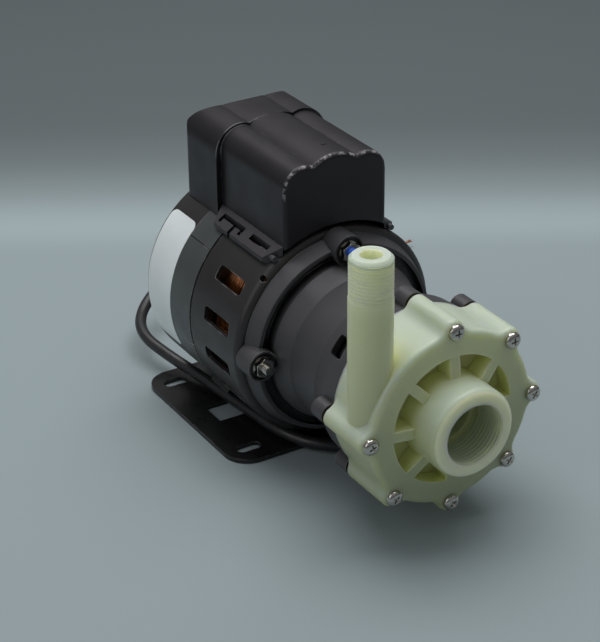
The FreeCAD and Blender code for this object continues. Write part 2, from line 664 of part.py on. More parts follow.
def prism(name, x, height, across_flats, y, z):
    """A hexagonal bar along X, at (y, z) from the shaft axis."""
    bar = doc.addObject("Part::Prism", name)
    bar.Polygon = 6
    bar.Placement = FreeCAD.Placement(FreeCAD.Vector(), FreeCAD.Rotation(FreeCAD.Vector(0, 1, 0), 90))
    bind(bar, "Circumradius", f"{across_flats} / 2 / cos(30)")
    bind(bar, "Height", height)
    bind(bar, "Placement.Base.x", x)
    bind(bar, "Placement.Base.y", y)
    bind(bar, "Placement.Base.z", f"{SHAFT_HEIGHT} + {z}")
    return bar


def group(name, items):
    """One node that holds like pieces as separate solids."""
    made = doc.addObject("Part::Compound", name)
    made.Label = name
    made.Links = items
    nodes.append(made)
    return made


def keep(thing):
    thing.Label = thing.Name
    nodes.append(thing)
    return thing


def on_circle(radius, angle):
    return f"({radius} * cos({angle}))", f"({radius} * sin({angle}))"


def bolt_places():
    """The through bolts' places, as (angle, y, z)."""
    return [(angle, *on_circle(BOLT_CIRCLE, angle)) for angle in (0, 90, 180, 270)]


def screw_places():
    angles = [f"(screw_first + {k} * screw_pitch)" for k in range(int(value("screw_count")))]
    return [on_circle("screw_circle", angle) for angle in angles]


def holes_on_circle(body, circle_radius, hole_radius, x, depth, count, first, span):
    """Round holes along X, cut from x towards the rear and repeated about the shaft axis."""
    sketch = sketch_on(body, "YZ_Plane", x)
    circle(sketch, *on_circle(circle_radius, first), hole_radius)
    return polar(body, [pocket(body, sketch, depth)], count, span)


def base_plate():
    """A stamped plate. Each window's tab is bent up against the shell, and the two tabs carry the motor."""
    body = new_body("base_plate", "0", "0")
    sketch = sketch_on(body, "XY_Plane")
    rounded_box(
        sketch, "-plate_length / 2", "-plate_width / 2", "plate_length / 2", "plate_width / 2", "plate_corner"
    )
    pad(body, sketch, "plate_thickness")
    sketch = sketch_on(body, "XY_Plane", "plate_thickness")
    for side in (-1, 1):
        for end in (-1, 1):
            place = f"{end} * slot_spacing_x / 2", f"{side} * slot_spacing_y / 2"
            slot(sketch, *place, "slot_length", "slot_width")
    pocket(body, sketch, "plate_thickness")
    left, right = "(window_centre - window_length / 2)", "(window_centre + window_length / 2)"
    sketch = sketch_on(body, "XY_Plane", "plate_thickness")
    outline(
        sketch,
        [
            (left, "-window_outer"),
            (right, "-window_outer"),
            (right, "-window_inner"),
            (left, "-window_inner"),
        ],
    )
    window = pocket(body, sketch, "plate_thickness")
    rise = f"({SHAFT_HEIGHT} - plate_thickness)"
    reach = f"hypot(window_inner; {rise})"
    angle = f"(atan(window_inner / {rise}) + acos((shell_radius + seat_gap) / {reach}))"
    length = "(window_outer - window_inner)"
    tip = f"(-window_inner - {length} * cos({angle}))", f"(plate_thickness + {length} * sin({angle}))"
    across = f"plate_thickness * sin({angle})", f"plate_thickness * cos({angle})"
    sketch = sketch_on(body, "YZ_Plane", left)
    outline(
        sketch,
        [
            ("-window_inner", "0"),
            ("-window_inner", "plate_thickness"),
            tip,
            (f"{tip[0]} - {across[0]}", f"{tip[1]} - {across[1]}"),
            (f"-window_inner - {across[0]}", f"plate_thickness - {across[1]}"),
        ],
    )
    tab = pad(body, sketch, "window_length")
    mirrored = body.newObject("PartDesign::Mirrored", "base_plate_mirrored")
    mirrored.Originals = [window, tab]
    mirrored.MirrorPlane = (role(body, "XZ_Plane"), [""])
    body.Tip = mirrored


def motor_shell():
    band = new_body("stator_shell")
    turn_profile(
        band,
        [
            (BAND_REAR, BORE_RADIUS),
            (BAND_FRONT, BORE_RADIUS),
            (BAND_FRONT, "shell_radius"),
            (BAND_REAR, "shell_radius"),
        ],
    )
    seam = sketch_on(band, "XY_Plane", turn="(seam_angle - 90)")
    outline(
        seam,
        [
            (f"{BAND_REAR} - 1", "-seam_gap / 2"),
            (f"{BAND_FRONT} + 1", "-seam_gap / 2"),
            (f"{BAND_FRONT} + 1", "seam_gap / 2"),
            (f"{BAND_REAR} - 1", "seam_gap / 2"),
        ],
    )
    pocket(band, seam, "shell_radius + 1", forward=True)

    boss = "(bearing_radius + bearing_wall)"
    rear = new_body("rear_bell")
    turn_profile(
        rear,
        [
            ("motor_rear", "0"),
            (REAR_BEARING, "0"),
            (REAR_BEARING, "bearing_radius"),
            (f"{REAR_BEARING} + bearing_length", "bearing_radius"),
            (f"{REAR_BEARING} + bearing_length", boss),
            (REAR_BEARING, boss),
            (REAR_BEARING, BORE_RADIUS),
            (BAND_REAR, BORE_RADIUS),
            (BAND_REAR, "shell_radius"),
            ("motor_rear", "shell_radius"),
        ],
    )
    dress(rear, "Fillet", "rear_round", edge_at("motor_rear", "shell_radius"))
    sketch = sketch_on(rear, "YZ_Plane", REAR_BEARING)
    half = "(rear_vent_width / 2)"
    angle = "180 / rear_vent_count"
    outer = f"({BOLT_CIRCLE} - rear_vent_margin)"
    corners = [("rear_vent_inner", "-1"), (outer, "-1"), (outer, "1"), ("rear_vent_inner", "1")]
    outline(
        sketch,
        [
            (
                f"{r} * cos({angle}) - {side} * {half} * sin({angle})",
                f"{r} * sin({angle}) + {side} * {half} * cos({angle})",
            )
            for r, side in corners
        ],
    )
    polar(rear, [pocket(rear, sketch, "shell_wall + 1")], "rear_vent_count")
    bolt_hole = "bolt_radius + hole_gap"
    holes_on_circle(rear, BOLT_CIRCLE, bolt_hole, REAR_BEARING, "shell_wall + 1", "4", "0", "360")
    sketch = sketch_on(rear, "YZ_Plane", REAR_BEARING)
    circle(sketch, "exit_y", "-exit_drop", "relief_body + seat_gap")
    pocket(rear, sketch, "shell_wall + 1")

    front = new_body("front_bell")
    inside = f"({BELL_FRONT} - shell_wall)"
    shaft_hole = "(shaft_radius + bearing_wall / 2)"
    turn_profile(
        front,
        [
            (BELL_REAR, BORE_RADIUS),
            (inside, BORE_RADIUS),
            (inside, boss),
            (FRONT_BEARING, boss),
            (FRONT_BEARING, "bearing_radius"),
            (inside, "bearing_radius"),
            (inside, shaft_hole),
            (BELL_FRONT, shaft_hole),
            (BELL_FRONT, "shell_radius"),
            (BELL_REAR, "shell_radius"),
        ],
    )
    dress(front, "Fillet", "bell_round", edge_at(BELL_FRONT, "shell_radius"))
    vent = sketch_on(front, "XY_Plane", turn="(vent_first - 90)")
    start = f"({BELL_REAR} + vent_rear)"
    rounded_box(vent, start, "-vent_width / 2", f"({start} + vent_length)", "vent_width / 2", "vent_corner")
    cut = pocket(front, vent, "shell_radius + 1", forward=True)
    polar(front, [cut], "vent_count", "(vent_count - 1) * vent_pitch")
    holes_on_circle(front, BOLT_CIRCLE, bolt_hole, BELL_FRONT, "shell_wall + 1", "4", "0", "360")
    peep = sketch_on(front, "XY_Plane", "shell_radius", "(peep_angle - 90)")
    circle(peep, f"{BELL_FRONT} - peep_setback", "0", "peep_radius")
    pocket(front, peep, "shell_wall * 1.5")


def slot_outline(inset):
    """One winding slot in Y and Z, straight along +Y, drawn smaller by the inset."""
    foot = f"(stator_bore + slot_neck + {inset})"
    foot_half = f"(slot_foot_width / 2 - {inset})"
    head = f"({SLOT_BOTTOM} - {inset})"
    head_half = f"(slot_head_width / 2 - {inset})"
    return [(foot, f"-{foot_half}"), (head, f"-{head_half}"), (head, head_half), (foot, foot_half)]


def stator():
    """Slotted core, and the winding that fills its slots and turns over at both ends."""
    core = new_body("stator_core")
    outside = f"({BORE_RADIUS} - seat_gap)"
    length = f"({CORE_FRONT} - {CORE_REAR})"
    turn_profile(
        core,
        [
            (CORE_REAR, "stator_bore"),
            (CORE_FRONT, "stator_bore"),
            (CORE_FRONT, outside),
            (CORE_REAR, outside),
        ],
    )
    sketch = sketch_on(core, "YZ_Plane", CORE_FRONT)
    body_of_slot = slot_outline("0")
    mouth = "slot_mouth / 2"
    outline(
        sketch,
        [("stator_bore - 1", f"-{mouth}"), ("stator_bore + slot_neck", f"-{mouth}")]
        + body_of_slot
        + [("stator_bore + slot_neck", mouth), ("stator_bore - 1", mouth)],
    )
    polar(core, [pocket(core, sketch, length)], "stator_slots")
    holes_on_circle(core, BOLT_CIRCLE, "bolt_radius + hole_gap", CORE_FRONT, length, "4", "0", "360")

    winding = new_body("stator_windings")
    bevel = "winding_round"
    for near, far in (
        (f"({CORE_FRONT} + winding_gap)", f"({CORE_FRONT} + winding_gap + winding_front)"),
        (f"({CORE_REAR} - winding_gap)", f"({CORE_REAR} - winding_gap - winding_back)"),
    ):
        back = f"({far} - {bevel})" if value(far) > value(near) else f"({far} + {bevel})"
        turn_profile(
            winding,
            [
                (near, "winding_inner"),
                (back, "winding_inner"),
                (far, f"winding_inner + {bevel}"),
                (far, f"{WINDING_OUTER} - {bevel}"),
                (back, WINDING_OUTER),
                (near, WINDING_OUTER),
            ],
        )
        if winding.Shape.Solids and len(winding.Shape.Solids) == 1 and value(far) > value(near):
            sketch = sketch_on(winding, "YZ_Plane", f"{CORE_REAR} - winding_gap - 1")
            outline(sketch, slot_outline("winding_gap"))
            bar = pad(winding, sketch, f"{length} + 2 * winding_gap + 2")
            polar(winding, [bar], "stator_slots")


def rotor():
    """What the motor turns: shaft, rotor core, fan, thrust collars, drive cup and its magnet."""
    shaft = new_body("motor_shaft")
    tail = f"({REAR_BEARING} + shaft_tail_gap)"
    rear_step = f"({REAR_BEARING} + bearing_length + end_play)"
    front_step = f"({FRONT_BEARING} - end_play)"
    tip = f"({BELL_FRONT} + shaft_reach)"
    turn_profile(
        shaft,
        [
            (tail, "0"),
            (tip, "0"),
            (tip, "shaft_radius"),
            (front_step, "shaft_radius"),
            (front_step, "shaft_shoulder"),
            (rear_step, "shaft_shoulder"),
            (rear_step, "shaft_radius"),
            (tail, "shaft_radius"),
        ],
    )
    flat_cut = sketch_on(shaft, "YZ_Plane", f"{tip} + 1")
    low = "(shaft_radius - shaft_flat)"
    side, above = "(shaft_radius + 1)", "(shaft_radius + shaft_flat)"
    outline(flat_cut, [(f"-{side}", low), (side, low), (side, above), (f"-{side}", above)])
    pocket(shaft, flat_cut, f"{tip} + 1 - {CUP_HUB_REAR}")

    core = new_body("rotor_core")
    inner = "shaft_shoulder + seat_gap / 2"
    ring = "(end_ring_height)"
    turn_profile(
        core,
        [
            (CORE_REAR, inner),
            (CORE_FRONT, inner),
            (CORE_FRONT, "end_ring_inner"),
            (f"{CORE_FRONT} + {ring}", "end_ring_inner"),
            (f"{CORE_FRONT} + {ring}", f"{ROTOR_RADIUS} - 1"),
            (CORE_FRONT, ROTOR_RADIUS),
            (CORE_REAR, ROTOR_RADIUS),
            (f"{CORE_REAR} - {ring}", f"{ROTOR_RADIUS} - 1"),
            (f"{CORE_REAR} - {ring}", "end_ring_inner"),
            (CORE_REAR, "end_ring_inner"),
        ],
    )

    fan = new_body("cooling_fan")
    disc_rear = f"({REAR_BEARING} + bearing_length + end_play)"
    disc_front = f"({disc_rear} + fan_disc)"
    blade_inner = "(bearing_radius + bearing_wall + fan_clearance)"
    turn_profile(
        fan,
        [
            (disc_rear, "shaft_shoulder + seat_gap / 2"),
            (disc_front, "shaft_shoulder + seat_gap / 2"),
            (disc_front, "fan_radius"),
            (disc_rear, "fan_radius"),
        ],
    )
    sketch = sketch_on(fan, "XY_Plane")
    outline(
        sketch,
        [
            (f"{disc_rear} - fan_reach", blade_inner),
            (f"{disc_rear} + fan_disc / 2", blade_inner),
            (f"{disc_rear} + fan_disc / 2", "fan_radius"),
            (f"{disc_rear} - fan_reach", "fan_radius"),
        ],
    )
    polar(fan, [pad(fan, sketch, "fan_blade", middle=True)], "fan_blades")

    shaft_fit = "shaft_radius + seat_gap / 2"
    inside = sleeve(
        "collar_inside",
        f"{FRONT_BEARING} - end_play * 2 - collar_width",
        "collar_width",
        "collar_radius",
        "shaft_shoulder + seat_gap / 2",
    )
    outside = sleeve("collar_outside", f"{BELL_FRONT} + end_play", "collar_width", "collar_radius", shaft_fit)
    group("thrust_collars", [inside, outside])

    cup = new_body("drive_cup")
    cup_front = f"({CUP_WEB_FRONT} + cup_web_gap + drive_magnet_length + socket_depth - cup_wall)"
    turn_profile(
        cup,
        [
            (CUP_HUB_REAR, shaft_fit),
            (CUP_WEB_FRONT, shaft_fit),
            (CUP_WEB_FRONT, f"{CUP_RADIUS} - cup_wall"),
            (cup_front, f"{CUP_RADIUS} - cup_wall"),
            (cup_front, CUP_RADIUS),
            (CUP_WEB_REAR, CUP_RADIUS),
            (CUP_WEB_REAR, "cup_hub_radius"),
            (CUP_HUB_REAR, "cup_hub_radius"),
        ],
    )
    sketch = sketch_on(cup, "XY_Plane")
    circle(sketch, f"{CUP_WEB_REAR} - set_screw_setback + cup_web", "0", "set_screw_radius + seat_gap / 2")
    first = pocket(cup, sketch, "cup_hub_radius + 1", forward=True)
    polar(cup, [first], "2", "90")
    magnet = sleeve(
        "drive_magnet",
        f"{cup_front} - drive_magnet_length",
        "drive_magnet_length",
        f"{CUP_RADIUS} - cup_wall - seat_gap / 2",
        "can_radius + magnet_gap",
    )
    keep(magnet)
    screws = []
    for k, (axis, low) in enumerate((((1, 0, 0), "shaft_radius - shaft_flat"), ((1, 0, 0), "shaft_radius"))):
        screw = doc.addObject("Part::Cylinder", f"set_screw_{k}")
        screw.Placement = FreeCAD.Placement(FreeCAD.Vector(), FreeCAD.Rotation(FreeCAD.Vector(*axis), 90 * k))
        bind(screw, "Radius", "set_screw_radius")
        bind(screw, "Height", f"cup_hub_radius - set_screw_depth - ({low}) - seat_gap")
        bind(screw, "Placement.Base.x", f"{CUP_WEB_REAR} - set_screw_setback + cup_web")
        bind(screw, "Placement.Base.y", f"-{k} * ({low} + seat_gap)")
        bind(screw, "Placement.Base.z", f"{SHAFT_HEIGHT} + (1 - {k}) * ({low} + seat_gap)")
        screws.append(screw)
    group("drive_set_screws", screws)


def bearings():
    inner = "shaft_radius + running_gap"
    outer = "bearing_radius - seat_gap / 2"
    keep(sleeve("rear_bearing", REAR_BEARING, "bearing_length", outer, inner))
    keep(sleeve("front_bearing", FRONT_BEARING, "bearing_length", outer, inner))


def through_bolts():
    bolts, nuts, washers = [], [], []
    nut_rear = f"({NUT_SEAT} + washer_height)"
    bolt_end = f"({nut_rear} + nut_height + bolt_stud)"
    for angle, y, z in bolt_places():
        shank = rod(f"bolt_shank_{angle}", "motor_rear", f"{bolt_end} - motor_rear", "bolt_radius", y, z)
        head_rear = "motor_rear - bolt_head_height"
        head = prism(f"bolt_head_{angle}", head_rear, "bolt_head_height", "bolt_head_width", y, z)
        bolt = doc.addObject("Part::Fuse", f"bolt_{angle}")
        bolt.Base = head
        bolt.Tool = shank
        bolts.append(bolt)
        hole = "bolt_radius + hole_gap / 2"
        nut = prism(f"nut_body_{angle}", nut_rear, "nut_height", "nut_width", y, z)
        nut_bore = rod(f"nut_bore_{angle}", nut_rear, "nut_height", hole, y, z)
        nuts.append(cut_from(f"nut_{angle}", nut, nut_bore))
        ring = rod(f"washer_body_{angle}", NUT_SEAT, "washer_height", "washer_radius", y, z)
        bore = rod(f"washer_bore_{angle}", NUT_SEAT, "washer_height", hole, y, z)
        washers.append(cut_from(f"washer_{angle}", ring, bore))
    group("through_bolts", bolts)
    group("bolt_nuts", nuts)
    group("lock_washers", washers)


def motor_bracket():
    """A waisted dome between a rimmed flange on the motor and the bosses that take the housing's screws."""
    body = new_body("motor_bracket")
    shoulder = f"({NUT_SEAT} + dome_shoulder)"
    waist = f"({NUT_SEAT} + waist_rear)"
    waist_end = f"({waist} + waist_length)"
    neck = f"({PARTING} - neck_setback)"
    recess = f"({PARTING} - can_flange)"
    register = "(can_flange_radius + seat_gap)"
    turn_profile(
        body,
        [
            (BELL_FRONT, FLANGE_BORE),
            (NUT_SEAT, FLANGE_BORE),
            (shoulder, f"{DOME_SHOULDER_RADIUS} - dome_wall"),
            (waist, "waist_radius - dome_wall"),
            (waist_end, "waist_radius - dome_wall"),
            (neck, "neck_radius - neck_wall"),
            (recess, "neck_radius - neck_wall"),
            (recess, register),
            (PARTING, register),
            (PARTING, "housing_radius"),
            (neck, "neck_radius"),
            (waist_end, "waist_radius"),
            (waist, "waist_radius"),
            (shoulder, DOME_SHOULDER_RADIUS),
            (NUT_SEAT, DOME_BASE),
            (TROUGH, DOME_BASE),
            (TROUGH, f"{FLANGE_FRONT_RADIUS} - lip_wall"),
            (LIP_FRONT, f"{FLANGE_FRONT_RADIUS} - lip_wall"),
            (LIP_FRONT, FLANGE_FRONT_RADIUS),
            (BELL_FRONT, FLANGE_REAR_RADIUS),
        ],
    )
    dress(body, "Fillet", "lip_wall / 3", edge_at(LIP_FRONT, FLANGE_FRONT_RADIUS))
    sketch = sketch_on(body, "YZ_Plane", BELL_FRONT)
    circle(sketch, BOLT_CIRCLE, "0", "bolt_boss")
    polar(body, [pad(body, sketch, "flange_thickness + boss_rim")], "4")
    sketch = sketch_on(body, "YZ_Plane", shoulder)
    circle(sketch, BOLT_CIRCLE, "0", "bolt_boss - boss_wall")
    polar(body, [pocket(body, sketch, "dome_shoulder")], "4")
    hole = "bolt_radius + hole_gap"
    holes_on_circle(body, BOLT_CIRCLE, hole, NUT_SEAT, "flange_thickness", "4", "0", "360")
    sketch = sketch_on(body, "YZ_Plane", f"{PARTING} - bracket_ear_length")
    ear_at = on_circle("screw_circle", "screw_first")
    circle(sketch, *ear_at, "bracket_ear_radius")
    span = "(screw_count - 1) * screw_pitch"
    polar(body, [pad(body, sketch, "bracket_ear_length")], "screw_count", span)
    turn_profile(
        body,
        [
            (recess, "0"),
            (f"{PARTING} + 1", "0"),
            (f"{PARTING} + 1", register),
            (recess, register),
        ],
        cut=True,
    )
    hole = "screw_radius + hole_gap / 2"
    depth = "screw_bite + 1"
    holes_on_circle(body, "screw_circle", hole, PARTING, depth, "screw_count", "screw_first", span)
    sketch = sketch_on(body, "XY_Plane", turn="(window_mid_angle - 90)")
    mid = f"({PARTING} - window_setback)"
    half = "side_window / 2"
    rounded_box(sketch, f"({mid} - {half})", f"(-{half})", f"({mid} + {half})", f"({half})", "vent_corner")
    pocket(body, sketch, "neck_radius + 5", forward=True)


def mirrored_steps(steps):
    """The same outline on the other side of the sketch's vertical axis."""
    return [(f"-({step[0]})", step[1], *(f"-({radius})" for radius in step[2:])) for step in steps]


def ear_outline():
    """One ear: the boss round the screw, with a hollow on each side that runs out on the housing's circle.
    It points along +Y, and where a hollow meets the boss and the housing follows from the two radii."""
    blend_circle = "(housing_radius + ear_blend)"
    boss_circle = "(ear_radius + ear_blend)"
    squares = f"({blend_circle} ^ 2 + screw_circle ^ 2 - {boss_circle} ^ 2)"
    lean = f"acos({squares} / (2 * {blend_circle} * screw_circle))"
    centre = f"({blend_circle} * cos({lean}))", f"({blend_circle} * sin({lean}))"
    share = f"(ear_radius / {boss_circle})"
    on_boss = f"(screw_circle + ({centre[0]} - screw_circle) * {share})", f"({centre[1]} * {share})"
    on_housing = f"(housing_radius * cos({lean}))", f"(housing_radius * sin({lean}))"
    inside = "(screw_circle - ear_radius * 1.6)"
    return [
        (inside, f"-{on_housing[1]}"),
        (on_housing[0], f"-{on_housing[1]}"),
        (on_boss[0], f"-{on_boss[1]}", "-ear_blend"),
        ("(screw_circle + ear_radius)", "0", "ear_radius"),
        (*on_boss, "ear_radius"),
        (*on_housing, "-ear_blend"),
        (inside, on_housing[1]),
    ]


def pump_housing():
    """The wet casing in one moulding: ribbed front, inlet hub, ears and the tangential outlet pipe."""
    body = new_body("pump_housing")
    thread_end = f"({HUB_FRONT} - inlet_depth)"
    turn_profile(
        body,
        [
            (PARTING, "chamber_radius - chamber_shift"),
            (CHAMBER_FRONT, "chamber_radius - chamber_shift"),
            (CHAMBER_FRONT, "eye_radius"),
            (thread_end, "eye_radius"),
            (thread_end, "inlet_bore"),
            (HUB_FRONT, "inlet_bore"),
            (HUB_FRONT, "hub_radius"),
            (POCKET_FLOOR, "hub_radius"),
            (POCKET_FLOOR, "rim_inner"),
            (HEAD_FRONT, "rim_inner"),
            (HEAD_FRONT, "housing_radius"),
            (PARTING, "housing_radius"),
        ],
    )
    dress(body, "Fillet", "hub_round", edge_at(HUB_FRONT, "hub_radius"))
    span = "(screw_count - 1) * screw_pitch"
    sketch = sketch_on(body, "YZ_Plane", f"{PARTING} + ear_setback")
    outline(sketch, mirrored_steps(ear_outline()))
    polar(body, [pad(body, sketch, "housing_depth - ear_setback")], "screw_count", span)

    def front_outline(edge):
        start = edge.valueAt(edge.FirstParameter)
        on_face = edge.BoundBox.XLength < 1e-3 and abs(start.x - value(HEAD_FRONT)) < 1e-3
        return on_face and math.hypot(start.y, start.z) > value("housing_radius - 0.5")

    dress(body, "Fillet", "housing_round", front_outline)
    rib = sketch_on(body, "XY_Plane")
    outline(
        rib,
        [
            (f"{POCKET_FLOOR} - 1", "hub_radius - 1"),
            (f"{HEAD_FRONT} + rib_rise", "hub_radius - 1"),
            (f"{HEAD_FRONT} + rib_rise", "hub_radius + 1"),
            (HEAD_FRONT, "rim_inner - 1"),
            (HEAD_FRONT, "rim_inner + 1"),
            (f"{POCKET_FLOOR} - 1", "rim_inner + 1"),
        ],
    )
    polar(body, [pad(body, rib, "rib_width", middle=True)], "rib_count")

    thread_foot = "(outlet_top - outlet_bevel - outlet_thread)"
    pipe = sketch_on(body, "XY_Plane", "outlet_foot")
    circle(pipe, OUTLET_X, "outlet_y", "pipe_radius")
    pad(body, pipe, f"{thread_foot} - outlet_foot")
    threaded = sketch_on(body, "XY_Plane", thread_foot)
    circle(threaded, OUTLET_X, "outlet_y", "outlet_radius")
    pad(body, threaded, f"outlet_top - {thread_foot}")

    def pipe_mouth(edge):
        return edge.BoundBox.ZLength < 1e-3 and abs(edge.CenterOfMass.z - value("outlet_top")) < 1e-3

    dress(body, "Chamfer", "outlet_bevel", pipe_mouth)
    bore = sketch_on(body, "XY_Plane", "outlet_top")
    circle(bore, OUTLET_X, "outlet_y", "outlet_bore")
    pocket(body, bore, "outlet_top")
    throat = sketch_on(body, "XY_Plane")
    rounded_box(
        throat,
        f"({PARTING} + throat_rear)",
        "(-throat_outer)",
        f"({OUTLET_X} + outlet_bore)",
        "(-throat_inner)",
        "throat_round",
    )
    pocket(body, throat, "throat_depth", forward=True)
    chamber = sketch_on(body, "YZ_Plane", CHAMBER_FRONT)
    circle(chamber, "-chamber_shift", "0", "chamber_radius")
    pocket(body, chamber, "chamber_depth")
    turn_profile(
        body,
        [
            (f"{PARTING} - 1", "seal_inner"),
            (f"{PARTING} + seal_depth", "seal_inner"),
            (f"{PARTING} + seal_depth", "seal_inner + seal_width"),
            (f"{PARTING} - 1", "seal_inner + seal_width"),
        ],
        cut=True,
    )
    leg_front = f"({SPIDER_REAR} + spider_depth + spider_leg_length + 2)"
    leg = sketch_on(body, "YZ_Plane", f"{leg_front} - spider_leg_length")
    half, end = "spider_leg / 2", "eye_radius + 1"
    outline(leg, [("0", f"-{half}"), (end, f"-{half}"), (end, half), ("0", half)])
    polar(body, [pad(body, leg, "spider_leg_length")], "spider_legs")
    seat = "spindle_radius + hole_gap / 2"
    seat_end = f"({SPIDER_REAR} + spider_depth)"
    turn_profile(
        body,
        [
            (SPIDER_REAR, seat),
            (seat_end, seat),
            (seat_end, "0"),
            (leg_front, "0"),
            (leg_front, "spider_radius"),
            (SPIDER_REAR, "spider_radius"),
        ],
    )
    hole, depth = "screw_radius + hole_gap", "housing_depth + 1"
    holes_on_circle(body, "screw_circle", hole, HEAD_FRONT, depth, "screw_count", "screw_first", span)


def housing_screws():
    screws = []
    for k, (y, z) in enumerate(screw_places()):
        length = "housing_depth + screw_bite"
        shank = rod(f"screw_shank_{k}", f"{PARTING} - screw_bite", length, "screw_radius", y, z)
        head = rod(f"screw_head_{k}", HEAD_FRONT, "screw_head_height", "screw_head_radius", y, z)
        screw = doc.addObject("Part::Fuse", f"screw_{k}")
        screw.Base = head
        screw.Tool = shank
        rounded = doc.addObject("Part::Fillet", f"screw_rounded_{k}")
        rounded.Base = screw
        doc.recompute()
        rim = value(HEAD_FRONT) + value("screw_head_height")
        crown = next(
            n for n, e in enumerate(screw.Shape.Edges, start=1)
            if e.BoundBox.XLength < 1e-3 and abs(e.CenterOfMass.x - rim) < 1e-3
        )
        rounded.Edges = [(crown, value("screw_head_height * 0.7"), value("screw_head_height * 0.7"))]
        screws.append(rounded)
    group("housing_screws", screws)


def rear_housing():
    """The thin can between the two magnets, with the spindle's rear seat on its floor."""
    body = new_body("rear_housing")
    flange_rear = f"({PARTING} - can_flange)"
    seat = "spindle_radius + hole_gap / 2"
    socket_end = f"({SOCKET_REAR} + socket_depth)"
    turn_profile(
        body,
        [
            (CAN_REAR, "0"),
            (SOCKET_REAR, "0"),
            (SOCKET_REAR, seat),
            (socket_end, seat),
            (socket_end, "socket_radius"),
            (SOCKET_REAR, "socket_radius"),
            (SOCKET_REAR, "can_radius - can_wall"),
            (PARTING, "can_radius - can_wall"),
            (PARTING, "can_flange_radius"),
            (flange_rear, "can_flange_radius"),
            (flange_rear, "can_radius"),
            (CAN_REAR, "can_radius"),
        ],
    )
    dress(body, "Fillet", "can_wall", edge_at(CAN_REAR, "can_radius"))

    seal = new_body("housing_seal")
    near, far = f"({PARTING} + cord_gap / 4)", f"({PARTING} + seal_depth - cord_gap / 4)"
    low, high = "(seal_inner + cord_gap / 2)", "(seal_inner + seal_width - cord_gap / 2)"
    turn_profile(
        seal,
        [
            (near, f"{low} + seal_bevel"),
            (f"{near} + seal_bevel", low),
            (f"{far} - seal_bevel", low),
            (far, f"{low} + seal_bevel"),
            (far, f"{high} - seal_bevel"),
            (f"{far} - seal_bevel", high),
            (f"{near} + seal_bevel", high),
            (near, f"{high} - seal_bevel"),
        ],
    )
    spindle_end = f"({SPIDER_REAR} + spider_depth - seat_gap)"
    start = f"({SOCKET_REAR} + seat_gap)"
    keep(rod("spindle", start, f"{spindle_end} - {start}", "spindle_radius"))
    washers = [
        sleeve(f"thrust_washer_{k}", x, "washer_thickness", "socket_radius", "spindle_radius + hole_gap / 2")
        for k, x in enumerate((REAR_WASHER, FRONT_WASHER))
    ]
    group("thrust_washers", washers)


def impeller():
    """Hull, disc and swept vanes in one moulding, the magnet in a ring pocket and a bushing in its hub."""
    body = new_body("impeller")
    bushing_front = f"({BUSHING_REAR} + bushing_length)"
    bore = f"({BUSHING_RADIUS} + seat_gap / 2)"
    pocket_front = f"({WET_REAR} + wet_recess + wet_magnet_length + seat_gap)"
    pocket_outer = f"({WET_RADIUS} - wet_skin)"
    turn_profile(
        body,
        [
            (BUSHING_REAR, bore),
            (bushing_front, bore),
            (bushing_front, "impeller_boss"),
            (VANE_REAR, "impeller_boss"),
            (VANE_REAR, "impeller_radius"),
            (SHROUD_REAR, "impeller_radius"),
            (SHROUD_REAR, WET_RADIUS),
            (WET_REAR, WET_RADIUS),
            (WET_REAR, pocket_outer),
            (pocket_front, pocket_outer),
            (pocket_front, "wet_magnet_inner"),
            (WET_REAR, "wet_magnet_inner"),
            (WET_REAR, "wet_magnet_inner - wet_skin"),
            (BUSHING_REAR, "wet_magnet_inner - wet_skin"),
        ],
    )
    tip = "(impeller_radius - 2 * seat_gap)"
    start, end = "(asin(vane_thickness / 2 / vane_inner))", f"(asin(vane_thickness / 2 / {tip}))"
    near_side, far_side = f"(vane_sweep * 1 deg - {end})", f"(vane_sweep * 1 deg + {end})"
    vane = sketch_on(body, "YZ_Plane", f"{VANE_REAR} - 1")
    outline(
        vane,
        [
            (f"vane_inner * cos({start})", f"-vane_inner * sin({start})"),
            (f"{tip} * cos({near_side})", f"{tip} * sin({near_side})", "vane_curve"),
            (f"{tip} * cos({far_side})", f"{tip} * sin({far_side})"),
            (f"vane_inner * cos({start})", f"vane_inner * sin({start})", "-vane_curve"),
        ],
    )
    polar(body, [pad(body, vane, "vane_height + 1")], "vane_count")
    outer = f"{pocket_outer} - seat_gap / 2"
    inner = "wet_magnet_inner + seat_gap / 2"
    keep(sleeve("impeller_magnet", f"{WET_REAR} + wet_recess", "wet_magnet_length", outer, inner))
    spindle_fit = "spindle_radius + spindle_gap"
    keep(sleeve("impeller_bushing", BUSHING_REAR, "bushing_length", BUSHING_RADIUS, spindle_fit))


def lobed_roof(half_width, rise, wall):
    """A section of the cover: straight sides, rounded shoulders and three lobes with sharp valleys."""
    half = f"({half_width} - {wall})"
    side_top = f"({COVER_SIDE_TOP} + {rise} - {wall})"
    valley_top = f"({COVER_VALLEY_TOP} + {rise} - {wall})"
    shoulder = f"({half} - cover_side_lobe)"
    drop = "(cover_side_top - cover_valley_top)"
    side = f"(((cover_side_lobe - cover_valley) ^ 2 + {drop} ^ 2) / (2 * {drop}))"
    crown = f"(cover_top - cover_valley_top - {rise})"
    middle = f"((cover_valley ^ 2 + {crown} ^ 2) / (2 * {crown}))"
    base = f"({COVER_BASE} - 3 * {wall})"
    side_end = f"({side_top} - {shoulder})"
    return [
        (f"-{half}", base),
        (half, base),
        (half, side_end),
        ("cover_side_lobe", side_top, shoulder),
        ("cover_valley", valley_top, side),
        ("-cover_valley", valley_top, middle),
        ("-cover_side_lobe", side_top, side),
        (f"-{half}", side_end, shoulder),
    ]


